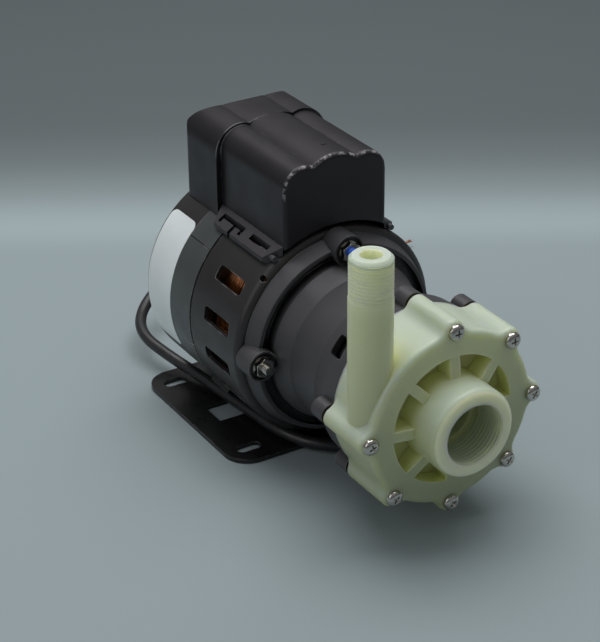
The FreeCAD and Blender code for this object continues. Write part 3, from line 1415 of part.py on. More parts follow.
def cover_form(body, wall):
    """The cover's outside, or its inside for a wall above zero: a wide rounded rear, and the front."""
    rear, step = f"({COVER_REAR} + {wall})", f"(cover_step - {wall})"
    half, top = f"(cover_rear_half - {wall})", f"({COVER_TOP} - {wall})"
    sketch = sketch_on(body, "YZ_Plane", rear)
    outline(sketch, lobed_roof("cover_rear_half", "cover_rear_rise", wall))
    pad(body, sketch, f"{step} - {rear}")
    sketch = sketch_on(body, "XZ_Plane")
    roof = f"(cover_roof_round - {wall})"
    outline(
        sketch,
        [
            (f"{rear} - 1", f"{top} - {roof}"),
            (rear, f"{top} - {roof}"),
            (f"{rear} + {roof}", top, f"-{roof}"),
            (f"{rear} + {roof}", f"{top} + 1"),
            (f"{rear} - 1", f"{top} + 1"),
        ],
    )
    pocket(body, sketch, f"2 * {half} + 2", middle=True)
    sketch = sketch_on(body, "XY_Plane")
    corner = f"(cover_rear_corner - {wall})"
    for side in (-1, 1):
        outline(
            sketch,
            [
                (f"{rear} - 1", f"{side} * ({half} - {corner})"),
                (rear, f"{side} * ({half} - {corner})"),
                (f"{rear} + {corner}", f"{side} * {half}", f"-{side} * {corner}"),
                (f"{rear} + {corner}", f"{side} * ({half} + 1)"),
                (f"{rear} - 1", f"{side} * ({half} + 1)"),
            ],
        )
    pocket(body, sketch, f"{COVER_TOP} + 1", forward=True)
    sketch = sketch_on(body, "YZ_Plane", f"{step} - 1")
    outline(sketch, lobed_roof("cover_half", "0", wall))
    pad(body, sketch, f"cover_front - {wall} - {step} + 1")


def terminal_cover():
    """A thin moulded box over the capacitor, wide at the rear and lobed on top, cut to the motor's curve."""
    outside = plain_body("cover_outside")
    cover_form(outside, "0")

    def front_edge(edge):
        box = edge.BoundBox
        on_face = box.XLength < 1e-3 and abs(box.XMin - value("cover_front")) < 1e-3
        return on_face and box.ZMax > value("shell_radius")

    dress(outside, "Fillet", "cover_front_round", front_edge)
    seat = "(shell_radius + cover_seat)"
    nose = "(shell_radius + cover_nose_lift)"
    turn_profile(
        outside,
        [
            (f"{COVER_REAR} - 1", "0"),
            ("cover_front + 1", "0"),
            ("cover_front + 1", nose),
            ("cover_front - cover_nose", nose),
            ("cover_front - cover_nose * 2", seat),
            (f"{COVER_REAR} - 1", seat),
        ],
        cut=True,
    )
    slit = sketch_on(outside, "XY_Plane", f"{COVER_TOP} + 1")
    half, end = "slit_width / 2", "slit_length / 2"
    outline(
        slit,
        [
            (f"slit_x - {half}", f"slit_y - {end}"),
            (f"slit_x + {half}", f"slit_y - {end}"),
            (f"slit_x + {half}", f"slit_y + {end}"),
            (f"slit_x - {half}", f"slit_y + {end}"),
        ],
    )
    pocket(outside, slit, "cover_wall * 2")
    inside = plain_body("cover_inside")
    cover_form(inside, "cover_wall")
    keep(cut_from("terminal_cover", outside, inside))


def cover_clip(name, side):
    """A strap beside the cover, on the shell, with a hooked slot, a straight slot and the pin's bore."""
    body = new_body(name)
    inner, outer = "(cover_half + clip_gap)", "(cover_half + clip_reach)"
    seat = "(shell_radius + clip_gap)"
    outer_low = f"({CLIP_OUTER_TOP} - clip_outer_height)"
    foot = "(clip_reach * 0.75 + cover_half)"
    sketch = sketch_on(body, "YZ_Plane", CLIP_REAR)
    outline(
        sketch,
        [
            (f"{side} * {inner}", CLIP_INNER_TOP),
            (f"{side} * {outer}", CLIP_OUTER_TOP),
            (f"{side} * {outer}", outer_low),
            (f"{side} * {foot}", f"sqrt({seat} ^ 2 - {foot} ^ 2)"),
            (f"{side} * {inner}", f"sqrt({seat} ^ 2 - {inner} ^ 2)", f"{side} * {seat}"),
        ],
    )
    pad(body, sketch, f"clip_front - {CLIP_REAR}")
    ends = sketch_on(body, "XY_Plane", f"{CLIP_INNER_TOP} + 1")
    for x, way in ((CLIP_REAR, 1), ("clip_front", -1)):
        outline(
            ends,
            [
                (f"{x} - {way}", f"{side} * {inner}"),
                (x, f"{side} * {inner}"),
                (f"{x} + {way} * clip_taper", f"{side} * {outer}"),
                (f"{x} + {way} * clip_taper", f"{side} * ({outer} + 1)"),
                (f"{x} - {way}", f"{side} * ({outer} + 1)"),
            ],
        )
    pocket(body, ends, CLIP_INNER_TOP)
    slots = sketch_on(body, "XY_Plane", f"{CLIP_INNER_TOP} + 1")
    near = "(cover_half + clip_slot_inset)"
    far = f"({near} + clip_slot_width)"
    rear = f"({CLIP_REAR} + clip_slot_rear)"
    front = f"({rear} + clip_slot_length)"
    mouth = f"({rear} + clip_mouth_at)"
    hook = f"({far} + clip_hook)"
    outline(
        slots,
        [
            (x, f"{side} * {y}")
            for x, y in (
                (rear, near),
                (front, near),
                (front, hook),
                (f"{front} - clip_mouth", hook),
                (f"{front} - clip_mouth", far),
                (f"{mouth} + clip_mouth", far),
                (f"{mouth} + clip_mouth", f"({outer} + 1)"),
                (mouth, f"({outer} + 1)"),
                (mouth, far),
                (f"{rear} + clip_mouth", far),
                (f"{rear} + clip_mouth", hook),
                (rear, hook),
            )
        ],
    )
    slit = f"({CLIP_REAR} + clip_slit_rear)"
    outline(
        slots,
        [
            (x, f"{side} * {y}")
            for x, y in (
                (slit, near),
                (f"{slit} + clip_slit_length", near),
                (f"{slit} + clip_slit_length", f"({near} + clip_slit_width)"),
                (slit, f"({near} + clip_slit_width)"),
            )
        ],
    )
    pocket(body, slots, CLIP_INNER_TOP)
    bore = sketch_on(body, "YZ_Plane", "pin_rear - 1")
    circle(bore, f"{side} * {PIN_Y}", PIN_Z, "pin_radius + hole_gap / 2")
    pocket(body, bore, "clip_front - pin_rear + 2", forward=True)


def clip_pins():
    pins = [
        rod(f"clip_pin_{k}", "pin_rear", "pin_length", "pin_radius", f"{side} * {PIN_Y}", PIN_Z)
        for k, side in enumerate((-1, 1))
    ]
    group("clip_pins", pins)


def capacitor():
    """A round can that lies on the shell under the cover, with two blades at its front end."""
    axis = "(shell_radius + capacitor_radius + seat_gap)"
    can = rod("capacitor_can", "capacitor_rear", "capacitor_length", "capacitor_radius", "0", axis)
    solids = [can]
    for side in (-1, 1):
        blade = doc.addObject("Part::Box", f"capacitor_blade_{side + 1}")
        bind(blade, "Length", "terminal_length + 1")
        bind(blade, "Width", "terminal_thickness")
        bind(blade, "Height", "terminal_width")
        bind(blade, "Placement.Base.x", "capacitor_rear + capacitor_length - 1")
        bind(blade, "Placement.Base.y", f"{side} * terminal_spacing / 2 - terminal_thickness / 2")
        bind(blade, "Placement.Base.z", f"{SHAFT_HEIGHT} + {axis} - terminal_width / 2")
        solids.append(blade)
    whole = doc.addObject("Part::MultiFuse", "run_capacitor")
    whole.Shapes = solids
    keep(whole)


def rating_label():
    """A thin bare label round the rear bell."""
    body = new_body("rating_label")
    sketch = sketch_on(body, "XZ_Plane", turn="(label_first - 90)")
    near, far = "(motor_rear + label_inset)", "(motor_rear + label_inset + label_width)"
    low = "(shell_radius + label_glue)"
    high = f"({low} + label_thickness)"
    outline(sketch, [(near, low), (far, low), (far, high), (near, high)])
    made = feature(body, "Revolution", sketch)
    made.ReferenceAxis = (role(body, "X_Axis"), [""])
    bind(made, "Angle", "label_sweep")
    doc.recompute()


def strain_relief():
    body = new_body("strain_relief", "exit_y", f"{SHAFT_HEIGHT} - exit_drop")
    turn_profile(
        body,
        [
            ("motor_rear - relief_length", "0"),
            ("motor_rear + relief_inside", "0"),
            ("motor_rear + relief_inside", "relief_body"),
            ("motor_rear", "relief_body"),
            ("motor_rear", "relief_flange"),
            ("motor_rear - relief_flange_height", "relief_flange"),
            ("motor_rear - relief_flange_height", "relief_body"),
            ("motor_rear - relief_length", "relief_tip"),
        ],
    )


def tube(points, radius, name):
    """A round tube along straight runs that tangent arcs join, each arc as large as its two runs allow."""
    spots = [FreeCAD.Vector(*point) for point in points]
    runs = [b - a for a, b in zip(spots, spots[1:])]
    edges = []
    radii = []
    start = spots[0]
    length = 0.0
    for k in range(1, len(spots) - 1):
        before, after = runs[k - 1], runs[k]
        reach = 0.45 * min(before.Length, after.Length)
        turn = before.getAngle(after)
        arc_radius = reach / math.tan(turn / 2)
        radii.append(round(arc_radius, 1))
        into = spots[k] - before / before.Length * reach
        out_of = spots[k] + after / after.Length * reach
        inward = (into + out_of) / 2 - spots[k]
        to_middle = arc_radius / math.cos(turn / 2) - arc_radius
        middle = spots[k] + inward / inward.Length * to_middle
        edges.append(Part.LineSegment(start, into).toShape())
        edges.append(Part.Arc(into, middle, out_of).toShape())
        length += (into - start).Length + arc_radius * turn
        start = out_of
    edges.append(Part.LineSegment(start, spots[-1]).toShape())
    length += (spots[-1] - start).Length
    spine = Part.Wire(edges)
    section = Part.Wire(Part.Circle(spots[0], runs[0], radius).toShape())
    solid = spine.makePipeShell([section], True, False)
    expected = math.pi * radius**2 * length
    ratio = solid.Volume / expected
    print(f"{name}: length {length:.1f}, volume {ratio:.5f} of section times length, arcs {radii}")
    if abs(ratio - 1) > 0.002:
        raise ValueError(f"{name} isn't a plain tube")
    return solid


def cord():
    """The free cord: its tube to the coil, the coil's outer shape, and the tail with its bare conductors."""
    thick = value("cord_radius")
    for name, route in (("cord_lead", LEAD_ROUTE), ("cord_tail", TAIL_ROUTE)):
        made = doc.addObject("Part::Feature", name)
        made.Shape = tube(route, thick, name)
        keep(made)
    outer = "(coil_radius + cord_radius + cord_gap)"
    inner = f"(coil_radius - {COIL_PITCH} * coil_turns - cord_radius)"
    ring_parts = []
    for radius in (outer, inner):
        disc = doc.addObject("Part::Cylinder", f"coil_disc_{len(ring_parts)}")
        bind(disc, "Radius", radius)
        bind(disc, "Height", f"{COIL_PITCH} + 2 * cord_radius + cord_gap")
        bind(disc, "Placement.Base.x", "coil_x")
        bind(disc, "Placement.Base.y", "coil_y")
        bind(disc, "Placement.Base.z", "cord_gap / 2")
        ring_parts.append(disc)
    ring = cut_from("coil_ring", *ring_parts)
    solids = [ring]
    for k, (x, y, level, axis) in enumerate(
        (("coil_x", "coil_y + coil_radius", 0, (0, 1, 0)), ("coil_x + coil_radius", "coil_y", 1, (-1, 0, 0)))
    ):
        stub = doc.addObject("Part::Cylinder", f"coil_stub_{k}")
        stub.Placement = FreeCAD.Placement(FreeCAD.Vector(), FreeCAD.Rotation(FreeCAD.Vector(*axis), 90))
        bind(stub, "Radius", "cord_radius")
        bind(stub, "Height", "coil_tangent")
        bind(stub, "Placement.Base.x", x)
        bind(stub, "Placement.Base.y", y)
        bind(stub, "Placement.Base.z", f"cord_gap + cord_radius + {level} * {COIL_PITCH}")
        solids.append(stub)
    coil = doc.addObject("Part::MultiFuse", "cord_coil")
    coil.Shapes = solids
    keep(coil)
    thin = value("conductor_radius")
    insulated = [tube(route, thin, f"conductor {k}") for k, route in enumerate(CONDUCTORS)]
    conductors = doc.addObject("Part::Feature", "cord_conductors")
    conductors.Shape = Part.makeCompound(insulated)
    keep(conductors)
    bare = []
    for route, tip in zip(CONDUCTORS, COPPER_TIPS):
        start, end = FreeCAD.Vector(*route[-1]), FreeCAD.Vector(*tip)
        start += (end - start) * value("strip_gap") / (end - start).Length
        bare.append(Part.makeCylinder(value("copper_radius"), (end - start).Length, start, end - start))
    tips = doc.addObject("Part::Feature", "bare_wire_ends")
    tips.Shape = Part.makeCompound(bare)
    keep(tips)


base_plate()
motor_shell()
rating_label()
stator()
rotor()
bearings()
through_bolts()
motor_bracket()
terminal_cover()
cover_clip("left_clip", "-1")
cover_clip("right_clip", "1")
clip_pins()
capacitor()
rear_housing()
impeller()
pump_housing()
housing_screws()
strain_relief()
cord()

doc.recompute()
for thing in doc.Objects:
    if {"Invalid", "Error"} & set(thing.State):
        raise ValueError(f"{thing.Name} failed: {thing.State}")
os.makedirs("parts", exist_ok=True)
for node in nodes:
    shape = node.Shape
    if shape.isNull() or not shape.isValid() or not shape.Solids:
        raise ValueError(f"{node.Label} has no valid solid")
    shape.exportStep(f"parts/{node.Label}.step")
    print(node.Label, len(shape.Solids), round(shape.Volume, 1))
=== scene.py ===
import json
import math
import random

import bmesh
import bpy
from mathutils import Matrix, Vector


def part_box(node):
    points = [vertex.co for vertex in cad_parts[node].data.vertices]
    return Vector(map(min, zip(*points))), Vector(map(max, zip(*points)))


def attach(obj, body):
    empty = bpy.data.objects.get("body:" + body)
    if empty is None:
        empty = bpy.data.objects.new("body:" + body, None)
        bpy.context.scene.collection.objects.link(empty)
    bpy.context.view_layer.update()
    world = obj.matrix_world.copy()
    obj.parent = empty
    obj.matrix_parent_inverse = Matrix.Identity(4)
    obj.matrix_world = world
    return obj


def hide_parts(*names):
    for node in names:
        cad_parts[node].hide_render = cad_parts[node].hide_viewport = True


# The magnetic drive pump: an open motor on a stamped plate, with a pale moulded pump head. Lengths are in
# metres, in the frame of the solids: X along the shaft towards the inlet, Z up, the floor at zero.

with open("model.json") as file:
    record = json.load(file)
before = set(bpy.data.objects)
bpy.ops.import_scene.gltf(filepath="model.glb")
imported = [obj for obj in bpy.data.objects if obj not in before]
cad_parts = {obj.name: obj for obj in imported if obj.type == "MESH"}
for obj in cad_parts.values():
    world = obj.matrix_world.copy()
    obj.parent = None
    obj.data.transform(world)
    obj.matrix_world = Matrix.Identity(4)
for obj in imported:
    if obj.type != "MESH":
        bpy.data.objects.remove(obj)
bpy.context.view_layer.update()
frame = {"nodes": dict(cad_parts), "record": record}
nodes = frame["nodes"]
MM = 0.001
X_AXIS, Z_AXIS = Vector((1, 0, 0)), Vector((0, 0, 1))
SHAFT_HEIGHT = (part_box("motor_shaft")[0].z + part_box("motor_shaft")[1].z) / 2
HOUSING_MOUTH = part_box("pump_housing")[1].x
HOUSING_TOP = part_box("pump_housing")[1].z

# Camera, fitted to the photograph of 600 by 642 pixels
PHOTO_LONG_SIDE = 642
FOCAL_LENGTH_IN_PIXELS = 1948.2
CAMERA_TARGET = Vector((0.01607, 0.0, 0.05295))
CAMERA_DISTANCE = 1.04335
CAMERA_AZIMUTH = math.radians(58.927)
CAMERA_ELEVATION = math.radians(28.110)
CAMERA_ROLL = math.radians(-0.558)

# Level directions, as the camera sees them
AWAY = Vector((-math.sin(CAMERA_AZIMUTH), math.cos(CAMERA_AZIMUTH), 0))
RIGHT = Vector((math.cos(CAMERA_AZIMUTH), math.sin(CAMERA_AZIMUTH), 0))

# The cord's route: from the strain relief round behind the motor, along the plate beside the motor,
# under the bracket and back along the other side. The spare length is coiled behind, the tail ends bare.
LEAD_ROUTE = [
    (-0.0695, 0.0240, 0.0423),
    (-0.0925, 0.0240, 0.0423),
    (-0.1110, 0.0100, 0.0365),
    (-0.1155, -0.0125, 0.0260),
    (-0.1035, -0.0360, 0.0170),
    (-0.0820, -0.0475, 0.0140),
    (-0.0580, -0.0436, 0.0108),
    (-0.0335, -0.0368, 0.0074),
    (-0.0070, -0.0335, 0.0063),
    (0.0190, -0.0305, 0.0063),
    (0.0418, -0.0293, 0.0070),
    (0.0625, -0.0193, 0.0056),
    (0.0750, 0.0040, 0.00335),
    (0.0755, 0.0300, 0.00335),
    (0.0620, 0.0525, 0.00335),
    (0.0380, 0.0670, 0.00335),
    (0.0100, 0.0735, 0.00335),
    (-0.0180, 0.0795, 0.00335),
    (-0.0480, 0.0830, 0.00335),
    (-0.0760, 0.0830, 0.00335),
]
TAIL_ROUTE = [
    (-0.0580, 0.0650, 0.00995),
    (-0.0580, 0.0835, 0.00995),
    (-0.0615, 0.1005, 0.0086),
    (-0.0725, 0.1135, 0.0044),
    (-0.0865, 0.1225, 0.00335),
    (-0.1010, 0.1310, 0.00335),
]
CORD_RADIUS = 3.25 * MM
COIL_CENTRE = Vector((-0.102, 0.039, 0))
COIL_RADIUS = 44 * MM
COIL_PITCH = 6.6 * MM
COIL_FLOOR = 3.35 * MM
COIL_TURNS = 2.875
COIL_STEPS = 24
CLIMB_START = 0.12
CLIMB_TURNS = 0.27

# The three conductors that come out of the cord's end, and where their bare copper ends
CONDUCTOR_RADIUS = 1.1 * MM
CONDUCTORS = {
    "black": [
        (-0.10122, 0.13113, 0.0047),
        (-0.109, 0.1354, 0.0046),
        (-0.1136, 0.144, 0.0043),
        (-0.1146, 0.151, 0.0042),
    ],
    "white": [
        (-0.10182, 0.13008, 0.00265),
        (-0.111, 0.1338, 0.002),
        (-0.1215, 0.1335, 0.0014),
        (-0.129, 0.1305, 0.00125),
    ],
    "green": [
        (-0.10062, 0.13218, 0.00265),
        (-0.1085, 0.1365, 0.0022),
        (-0.1165, 0.142, 0.0016),
        (-0.122, 0.1475, 0.00125),
    ],
}
INSULATION = {"black": (0.02, 0.02, 0.02), "white": (0.6, 0.6, 0.57), "green": (0.03, 0.22, 0.07)}
COPPER_TIPS = {
    "black": (-0.1179, 0.1647, 0.0040),
    "white": (-0.1385, 0.1265, 0.00125),
    "green": (-0.1285, 0.1555, 0.00125),
}
STRANDS = 13
INNER_STRANDS = 5
STRAND_RADIUS = 0.19 * MM
INNER_RING, OUTER_RING = 0.2 * MM, 0.42 * MM
STRAND_TURNS = 2.3
STRAND_TWIST = 3.2
STRAND_SHARES = (-0.06, 0.2, 0.45, 0.7, 0.88, 1.0)
FRAY = 0.25 * MM

# Pump head and cover
COVER_STEP = -11 * MM
OUTLET_AXIS = Vector((142.75 * MM, -38.3 * MM, 0))
OUTLET_RADIUS = 10.65 * MM
OUTLET_THREAD = 21 * MM
OUTLET_CHAMFER = 1.7 * MM
OUTLET_PITCH = 1.814 * MM
OUTLET_THREAD_DEPTH = 0.5 * MM
OUTLET_FADE = (0.6 * MM, 0.3 * MM)
OUTLET_SIDES = 72
INLET_RADIUS = 15.7 * MM
INLET_DEPTH = 21.8 * MM
INLET_PITCH = 2.209 * MM
INLET_THREAD_DEPTH = 0.85 * MM
INLET_FADE = (2.5 * MM, 1.4 * MM)
INLET_SIDES = 96

# Fasteners
SCREW_HEAD = 2.7 * MM
SCREW_HEAD_SIDE = 0.75 * MM
SCREW_HEAD_FLAT = 0.42
SCREW_SHANK = 2.3 * MM
RECESS_DEPTH, RECESS_REACH, RECESS_WIDTH = 1.7 * MM, 2.3 * MM, 1.0 * MM
BOLT_RADIUS = 2.4 * MM
BOLT_PITCH = 0.8 * MM
BOLT_THREAD_DEPTH = 0.42 * MM
BOLT_FADE = (0.8 * MM, 0.4 * MM)
BOLT_SIDES = 28
BOLT_HEAD = 3.0 * MM
BOLT_HEAD_WIDTH = 8.0 * MM
NUT_WIDTH = 9.5 * MM
NUT_MOUTH = 2.95 * MM
CORNER_TURN = 0.6

# Strain relief, from its flange to the cord's side
BOOT_FLANGE_FRONT, BOOT_FLANGE_REAR = -47 * MM, -49.2 * MM
BOOT_RADIUS, BOOT_FLANGE = 5.5 * MM, 7.4 * MM
BOOT_RIBS = 6
# One rib and its groove: how far along its step, and how far under its outside in millimetres
RIB_PROFILE = ((0.12, 0.0), (0.5, 0.05), (0.56, 0.75), (0.92, 0.8), (0.98, 0.1))

LABEL_RADIUS = 59.02 * MM
LABEL_THICKNESS = 0.16 * MM
LABEL_CORNER = 4.2 * MM
LABEL_FIRST = math.radians(133.5)
LABEL_SWEEP = math.radians(74.0)
LABEL_ROWS, LABEL_COLUMNS = 60, 13

# The wires lie side by side round the end turns of the windings, whose section has these radii and corners
WIRE_RADIUS = 0.42 * MM
WIRE_SPACING = 2.15 * WIRE_RADIUS
WIRE_STEPS = 64
TURNS_INSIDE, TURNS_OUTSIDE, TURNS_CORNER = 33.5 * MM, 48.0 * MM, 3.0 * MM
FRONT_TURNS, REAR_TURNS = 17 * MM, 11 * MM

# Stage
FLOOR_COLOUR = (0.29, 0.352, 0.368)
FLOOR_HALF_SIDE = 6.0
# How bright the backdrop is against the floor, by its distance behind the pump in metres
BACKDROP = ((0.18, 1.0), (0.222, 1.15), (0.262, 0.88), (0.31, 0.57), (0.37, 0.4), (0.45, 0.36))
# The room's light from below and from above
ROOM_LOW, ROOM_HIGH = (0.09, 0.09, 0.092, 1), (0.3, 0.3, 0.308, 1)
LIT_POINT = Vector((0, 0, 0.05))

SHARP_DEGREES = 32.0
SHADER_SAMPLES = 6
# Seeds of the random draws
STRAND_SEED, SCREW_SEED, BOLT_SEED, WIRE_SEED = 7, 3, 11, 5


def smooth_step(share):
    """Eases from 0 to 1."""
    share = max(0.0, min(1.0, share))
    return share * share * (3 - 2 * share)


def link(name, data):
    """A new object in the scene."""
    made = bpy.data.objects.new(name, data)
    bpy.context.scene.collection.objects.link(made)
    return made


def middle_of(box):
    return (box[0] + box[1]) / 2


def make_camera():
    back = Vector(
        (
            math.sin(CAMERA_AZIMUTH) * math.cos(CAMERA_ELEVATION),
            -math.cos(CAMERA_AZIMUTH) * math.cos(CAMERA_ELEVATION),
            math.sin(CAMERA_ELEVATION),
        )
    )
    rise = back.cross(RIGHT)
    right = RIGHT * math.cos(CAMERA_ROLL) + rise * math.sin(CAMERA_ROLL)
    up = rise * math.cos(CAMERA_ROLL) - RIGHT * math.sin(CAMERA_ROLL)
    camera = link("camera", bpy.data.cameras.new("camera"))
    place = Matrix((right, up, back)).transposed().to_4x4()
    place.translation = CAMERA_TARGET + back * CAMERA_DISTANCE
    camera.matrix_world = place
    camera.data.lens = FOCAL_LENGTH_IN_PIXELS * camera.data.sensor_width / PHOTO_LONG_SIDE
    camera.data.clip_start = 0.01
    bpy.context.scene.camera = camera


def add_spline(curve, points, radius):
    """A smooth line with these control points. They carry its radius, so the curve's box is the tube's."""
    spline = curve.splines.new("NURBS")
    spline.points.add(len(points) - 1)
    for point, place in zip(spline.points, points):
        point.co = (*place, 1)
        point.radius = radius
    spline.order_u = 3
    spline.use_endpoint_u = True
    return spline


def round_line(name, sides=6, resolution=8):
    """A tube that is as thick as its points say, in metres."""
    curve = bpy.data.curves.new(name, "CURVE")
    curve.dimensions = "3D"
    curve.bevel_depth = 1.0
    curve.bevel_resolution = sides
    curve.resolution_u = resolution
    curve.use_fill_caps = True
    return curve


def coil_points():
    """A layer that winds in on the floor and, on top of it, a layer that winds out again."""
    half_step = math.pi / COIL_STEPS
    points = []
    for k in range(round(2 * COIL_TURNS * COIL_STEPS) + 1):
        turns = k / COIL_STEPS
        wound = COIL_TURNS - abs(turns - COIL_TURNS)
        radius = (COIL_RADIUS - COIL_PITCH * wound) / math.cos(half_step)
        angle = math.pi / 2 + 2 * math.pi * turns
        climb = smooth_step((turns - COIL_TURNS + CLIMB_START) / CLIMB_TURNS)
        height = COIL_FLOOR + COIL_PITCH * climb
        points.append(COIL_CENTRE + Vector((radius * math.cos(angle), radius * math.sin(angle), height)))
    return points


def make_cord():
    cord = round_line("power_cord")
    add_spline(cord, LEAD_ROUTE + coil_points() + TAIL_ROUTE, CORD_RADIUS)
    piece = link("power_cord", cord)
    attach(piece, "pump")
    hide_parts("cord_lead", "cord_coil", "cord_tail")
    return piece


def make_conductors():
    pieces = {}
    for colour, route in CONDUCTORS.items():
        line = round_line(f"conductor_{colour}", 4)
        add_spline(line, route, CONDUCTOR_RADIUS)
        pieces[colour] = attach(link(f"conductor_{colour}", line), "pump")
    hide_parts("cord_conductors")
    return pieces


def make_strands():
    """Each conductor's bare copper: fine strands, twisted by the insulation and a little frayed."""
    draw = random.Random(STRAND_SEED)
    line = round_line("copper_strands", 2, 4)
    for colour, tip in COPPER_TIPS.items():
        start = Vector(CONDUCTORS[colour][-1])
        along = Vector(tip) - start
        side = along.cross(Z_AXIS).normalized()
        up = side.cross(along).normalized()
        for k in range(STRANDS):
            ring = 0.0 if k == 0 else INNER_RING if k < INNER_STRANDS else OUTER_RING
            angle = 2 * math.pi * k / STRANDS * STRAND_TURNS
            fray = draw.uniform(0.1, 1.0)
            reach = draw.uniform(0.86, 1.0)
            points = []
            for share in STRAND_SHARES:
                turned_by = angle + share * STRAND_TWIST
                spread = ring * (1 + 0.9 * fray * share**3) + fray * FRAY * share**4
                offset = side * math.cos(turned_by) * spread + up * math.sin(turned_by) * spread
                points.append(start + along * share * reach + offset)
            add_spline(line, [(p.x, p.y, max(p.z, STRAND_RADIUS)) for p in points], STRAND_RADIUS)
    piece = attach(link("copper_strands", line), "pump")
    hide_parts("bare_wire_ends")
    return piece


class Finish:
    """A principled material. Keyword values sit on the shader's own sockets, and textures are in the
    object's metres. Each method that changes the look returns the finish, so that they can be chained."""

    def __init__(self, name, colour, roughness, metallic=0.0, **sockets):
        self.name = name
        self.material = bpy.data.materials.new(name)
        self.material.use_nodes = True
        self.tree = self.material.node_tree
        self.shader = self.tree.nodes["Principled BSDF"]
        self.colour = (*colour, 1)
        self.normal = None
        self.shader.inputs["Base Color"].default_value = self.colour
        self.shader.inputs["Roughness"].default_value = roughness
        self.shader.inputs["Metallic"].default_value = metallic
        for socket, number in sockets.items():
            self.shader.inputs[socket.replace("_", " ")].default_value = number

    def node(self, kind, **settings):
        made = self.tree.nodes.new("ShaderNode" + kind)
        for name, setting in settings.items():
            setattr(made, name, setting)
        return made

    def join(self, out, into):
        self.tree.links.new(out, into)

    def place(self, stretch=(1, 1, 1)):
        """The object's own coordinates, stretched."""
        mapping = self.node("Mapping")
        mapping.inputs["Scale"].default_value = stretch
        self.join(self.node("TexCoord").outputs["Object"], mapping.inputs["Vector"])
        return mapping.outputs["Vector"]

    def true_normal(self):
        return self.node("NewGeometry").outputs["Normal"]

    def rounded_normal(self, radius):
        """The normal as if sharp edges were rounded by the radius."""
        made = self.node("Bevel", samples=SHADER_SAMPLES)
        made.inputs["Radius"].default_value = radius
        return made.outputs["Normal"]

    def noise(self, scale, detail=3.0, stretch=(1, 1, 1)):
        made = self.node("TexNoise")
        made.inputs["Scale"].default_value = scale
        made.inputs["Detail"].default_value = detail
        self.join(self.place(stretch), made.inputs["Vector"])
        return made.outputs["Fac"]

    def ranged(self, source, low, high, to_low=0.0, to_high=1.0):
        """Eases from one value to the other as the source goes from low to high."""
        made = self.node("MapRange", interpolation_type="SMOOTHSTEP")
        for name, number in (("From Min", low), ("From Max", high), ("To Min", to_low), ("To Max", to_high)):
            made.inputs[name].default_value = number
        self.join(source, made.inputs["Value"])
        return made.outputs["Result"]

    def product(self, first, second):
        made = self.node("Math", operation="MULTIPLY")
        self.join(first, made.inputs[0])
        self.join(second, made.inputs[1])
        return made.outputs["Value"]

    def split(self, vector, axis):
        """One coordinate of a vector."""
        parts = self.node("SeparateXYZ")
        self.join(vector, parts.inputs[0])
        return parts.outputs[axis]

    def along(self, axis, low, high):
        """Goes from 0 to 1 between two places on one of the object's axes."""
        return self.ranged(self.split(self.place(), axis), low, high)

    def facing(self, axis, low, high):
        """Goes from 0 to 1 as the surface turns towards one of the axes."""
        return self.ranged(self.split(self.true_normal(), axis), low, high)

    def near_upright(self, centre, radius):
        """High close to an upright line."""
        distance = self.node("VectorMath", operation="DISTANCE")
        self.join(self.place((1, 1, 0)), distance.inputs[0])
        distance.inputs[1].default_value = centre
        return self.ranged(distance.outputs["Value"], radius, 0.85 * radius)

    def edge_factor(self, radius, gain):
        """High beside sharp edges, where a rounded normal leaves the true one."""
        dot = self.node("VectorMath", operation="DOT_PRODUCT")
        self.join(self.rounded_normal(radius), dot.inputs[0])
        self.join(self.true_normal(), dot.inputs[1])
        return self.ranged(dot.outputs["Value"], 1.0, 1.0 - gain)

    def tint(self, factor, colour, zone=None):
        """Turns the base colour towards another one where the factor, and the zone if given, are high."""
        made = self.node("Mix", data_type="RGBA")
        self.join(self.product(factor, zone) if zone else factor, made.inputs["Factor"])
        before = self.shader.inputs["Base Color"]
        if before.is_linked:
            self.join(before.links[0].from_socket, made.inputs["A"])
        else:
            made.inputs["A"].default_value = self.colour
        made.inputs["B"].default_value = (*colour, 1)
        self.join(made.outputs["Result"], before)
        return self

    def mottle(self, amount, scale=60.0):
        """Faint uneven colour."""
        shade = [channel * (1 - amount) for channel in self.colour[:3]]
        return self.tint(self.ranged(self.noise(scale, 4.0), 0.35, 0.7), shade)

    def rough_between(self, low, high, scale=90.0, stretch=(1, 1, 1)):
        roughness = self.ranged(self.noise(scale, 4.0, stretch), 0.3, 0.7, low, high)
        self.join(roughness, self.shader.inputs["Roughness"])
        return self

    def use_normal(self, normal):
        self.normal = normal
        self.join(normal, self.shader.inputs["Normal"])
        return self

    def bump(self, height, depth):
        made = self.node("Bump")
        made.inputs["Strength"].default_value = 1.0
        made.inputs["Distance"].default_value = depth
        self.join(height, made.inputs["Height"])
        if self.normal:
            self.join(self.normal, made.inputs["Normal"])
        return self.use_normal(made.outputs["Normal"])

    def grain(self, scale, depth):
        return self.bump(self.noise(scale, 2.0), depth)

    def soft_edges(self, radius):
        """Rounds the look of sharp edges."""
        return self.use_normal(self.rounded_normal(radius))

    def worn_and_lit_edges(self, colour, radius=0.5 * MM, gain=0.25, scale=220.0, zone=None):
        """Bare spots and painted highlights along sharp edges, everywhere or where the zone is high."""
        lit_and_worn = self.product(self.edge_factor(radius, gain), self.ranged(self.noise(scale, 4.0), 0.45, 0.62))
        return self.tint(lit_and_worn, colour, zone)

    def painted_hollow_shade(self, colour, distance, zone=None):
        """Painted shade: another colour in hollows that the lamps don't reach."""
        open_share = self.node("AmbientOcclusion", samples=SHADER_SAMPLES)
        open_share.inputs["Distance"].default_value = distance
        return self.tint(self.ranged(open_share.outputs["AO"], 0.85, 0.1), colour, zone)

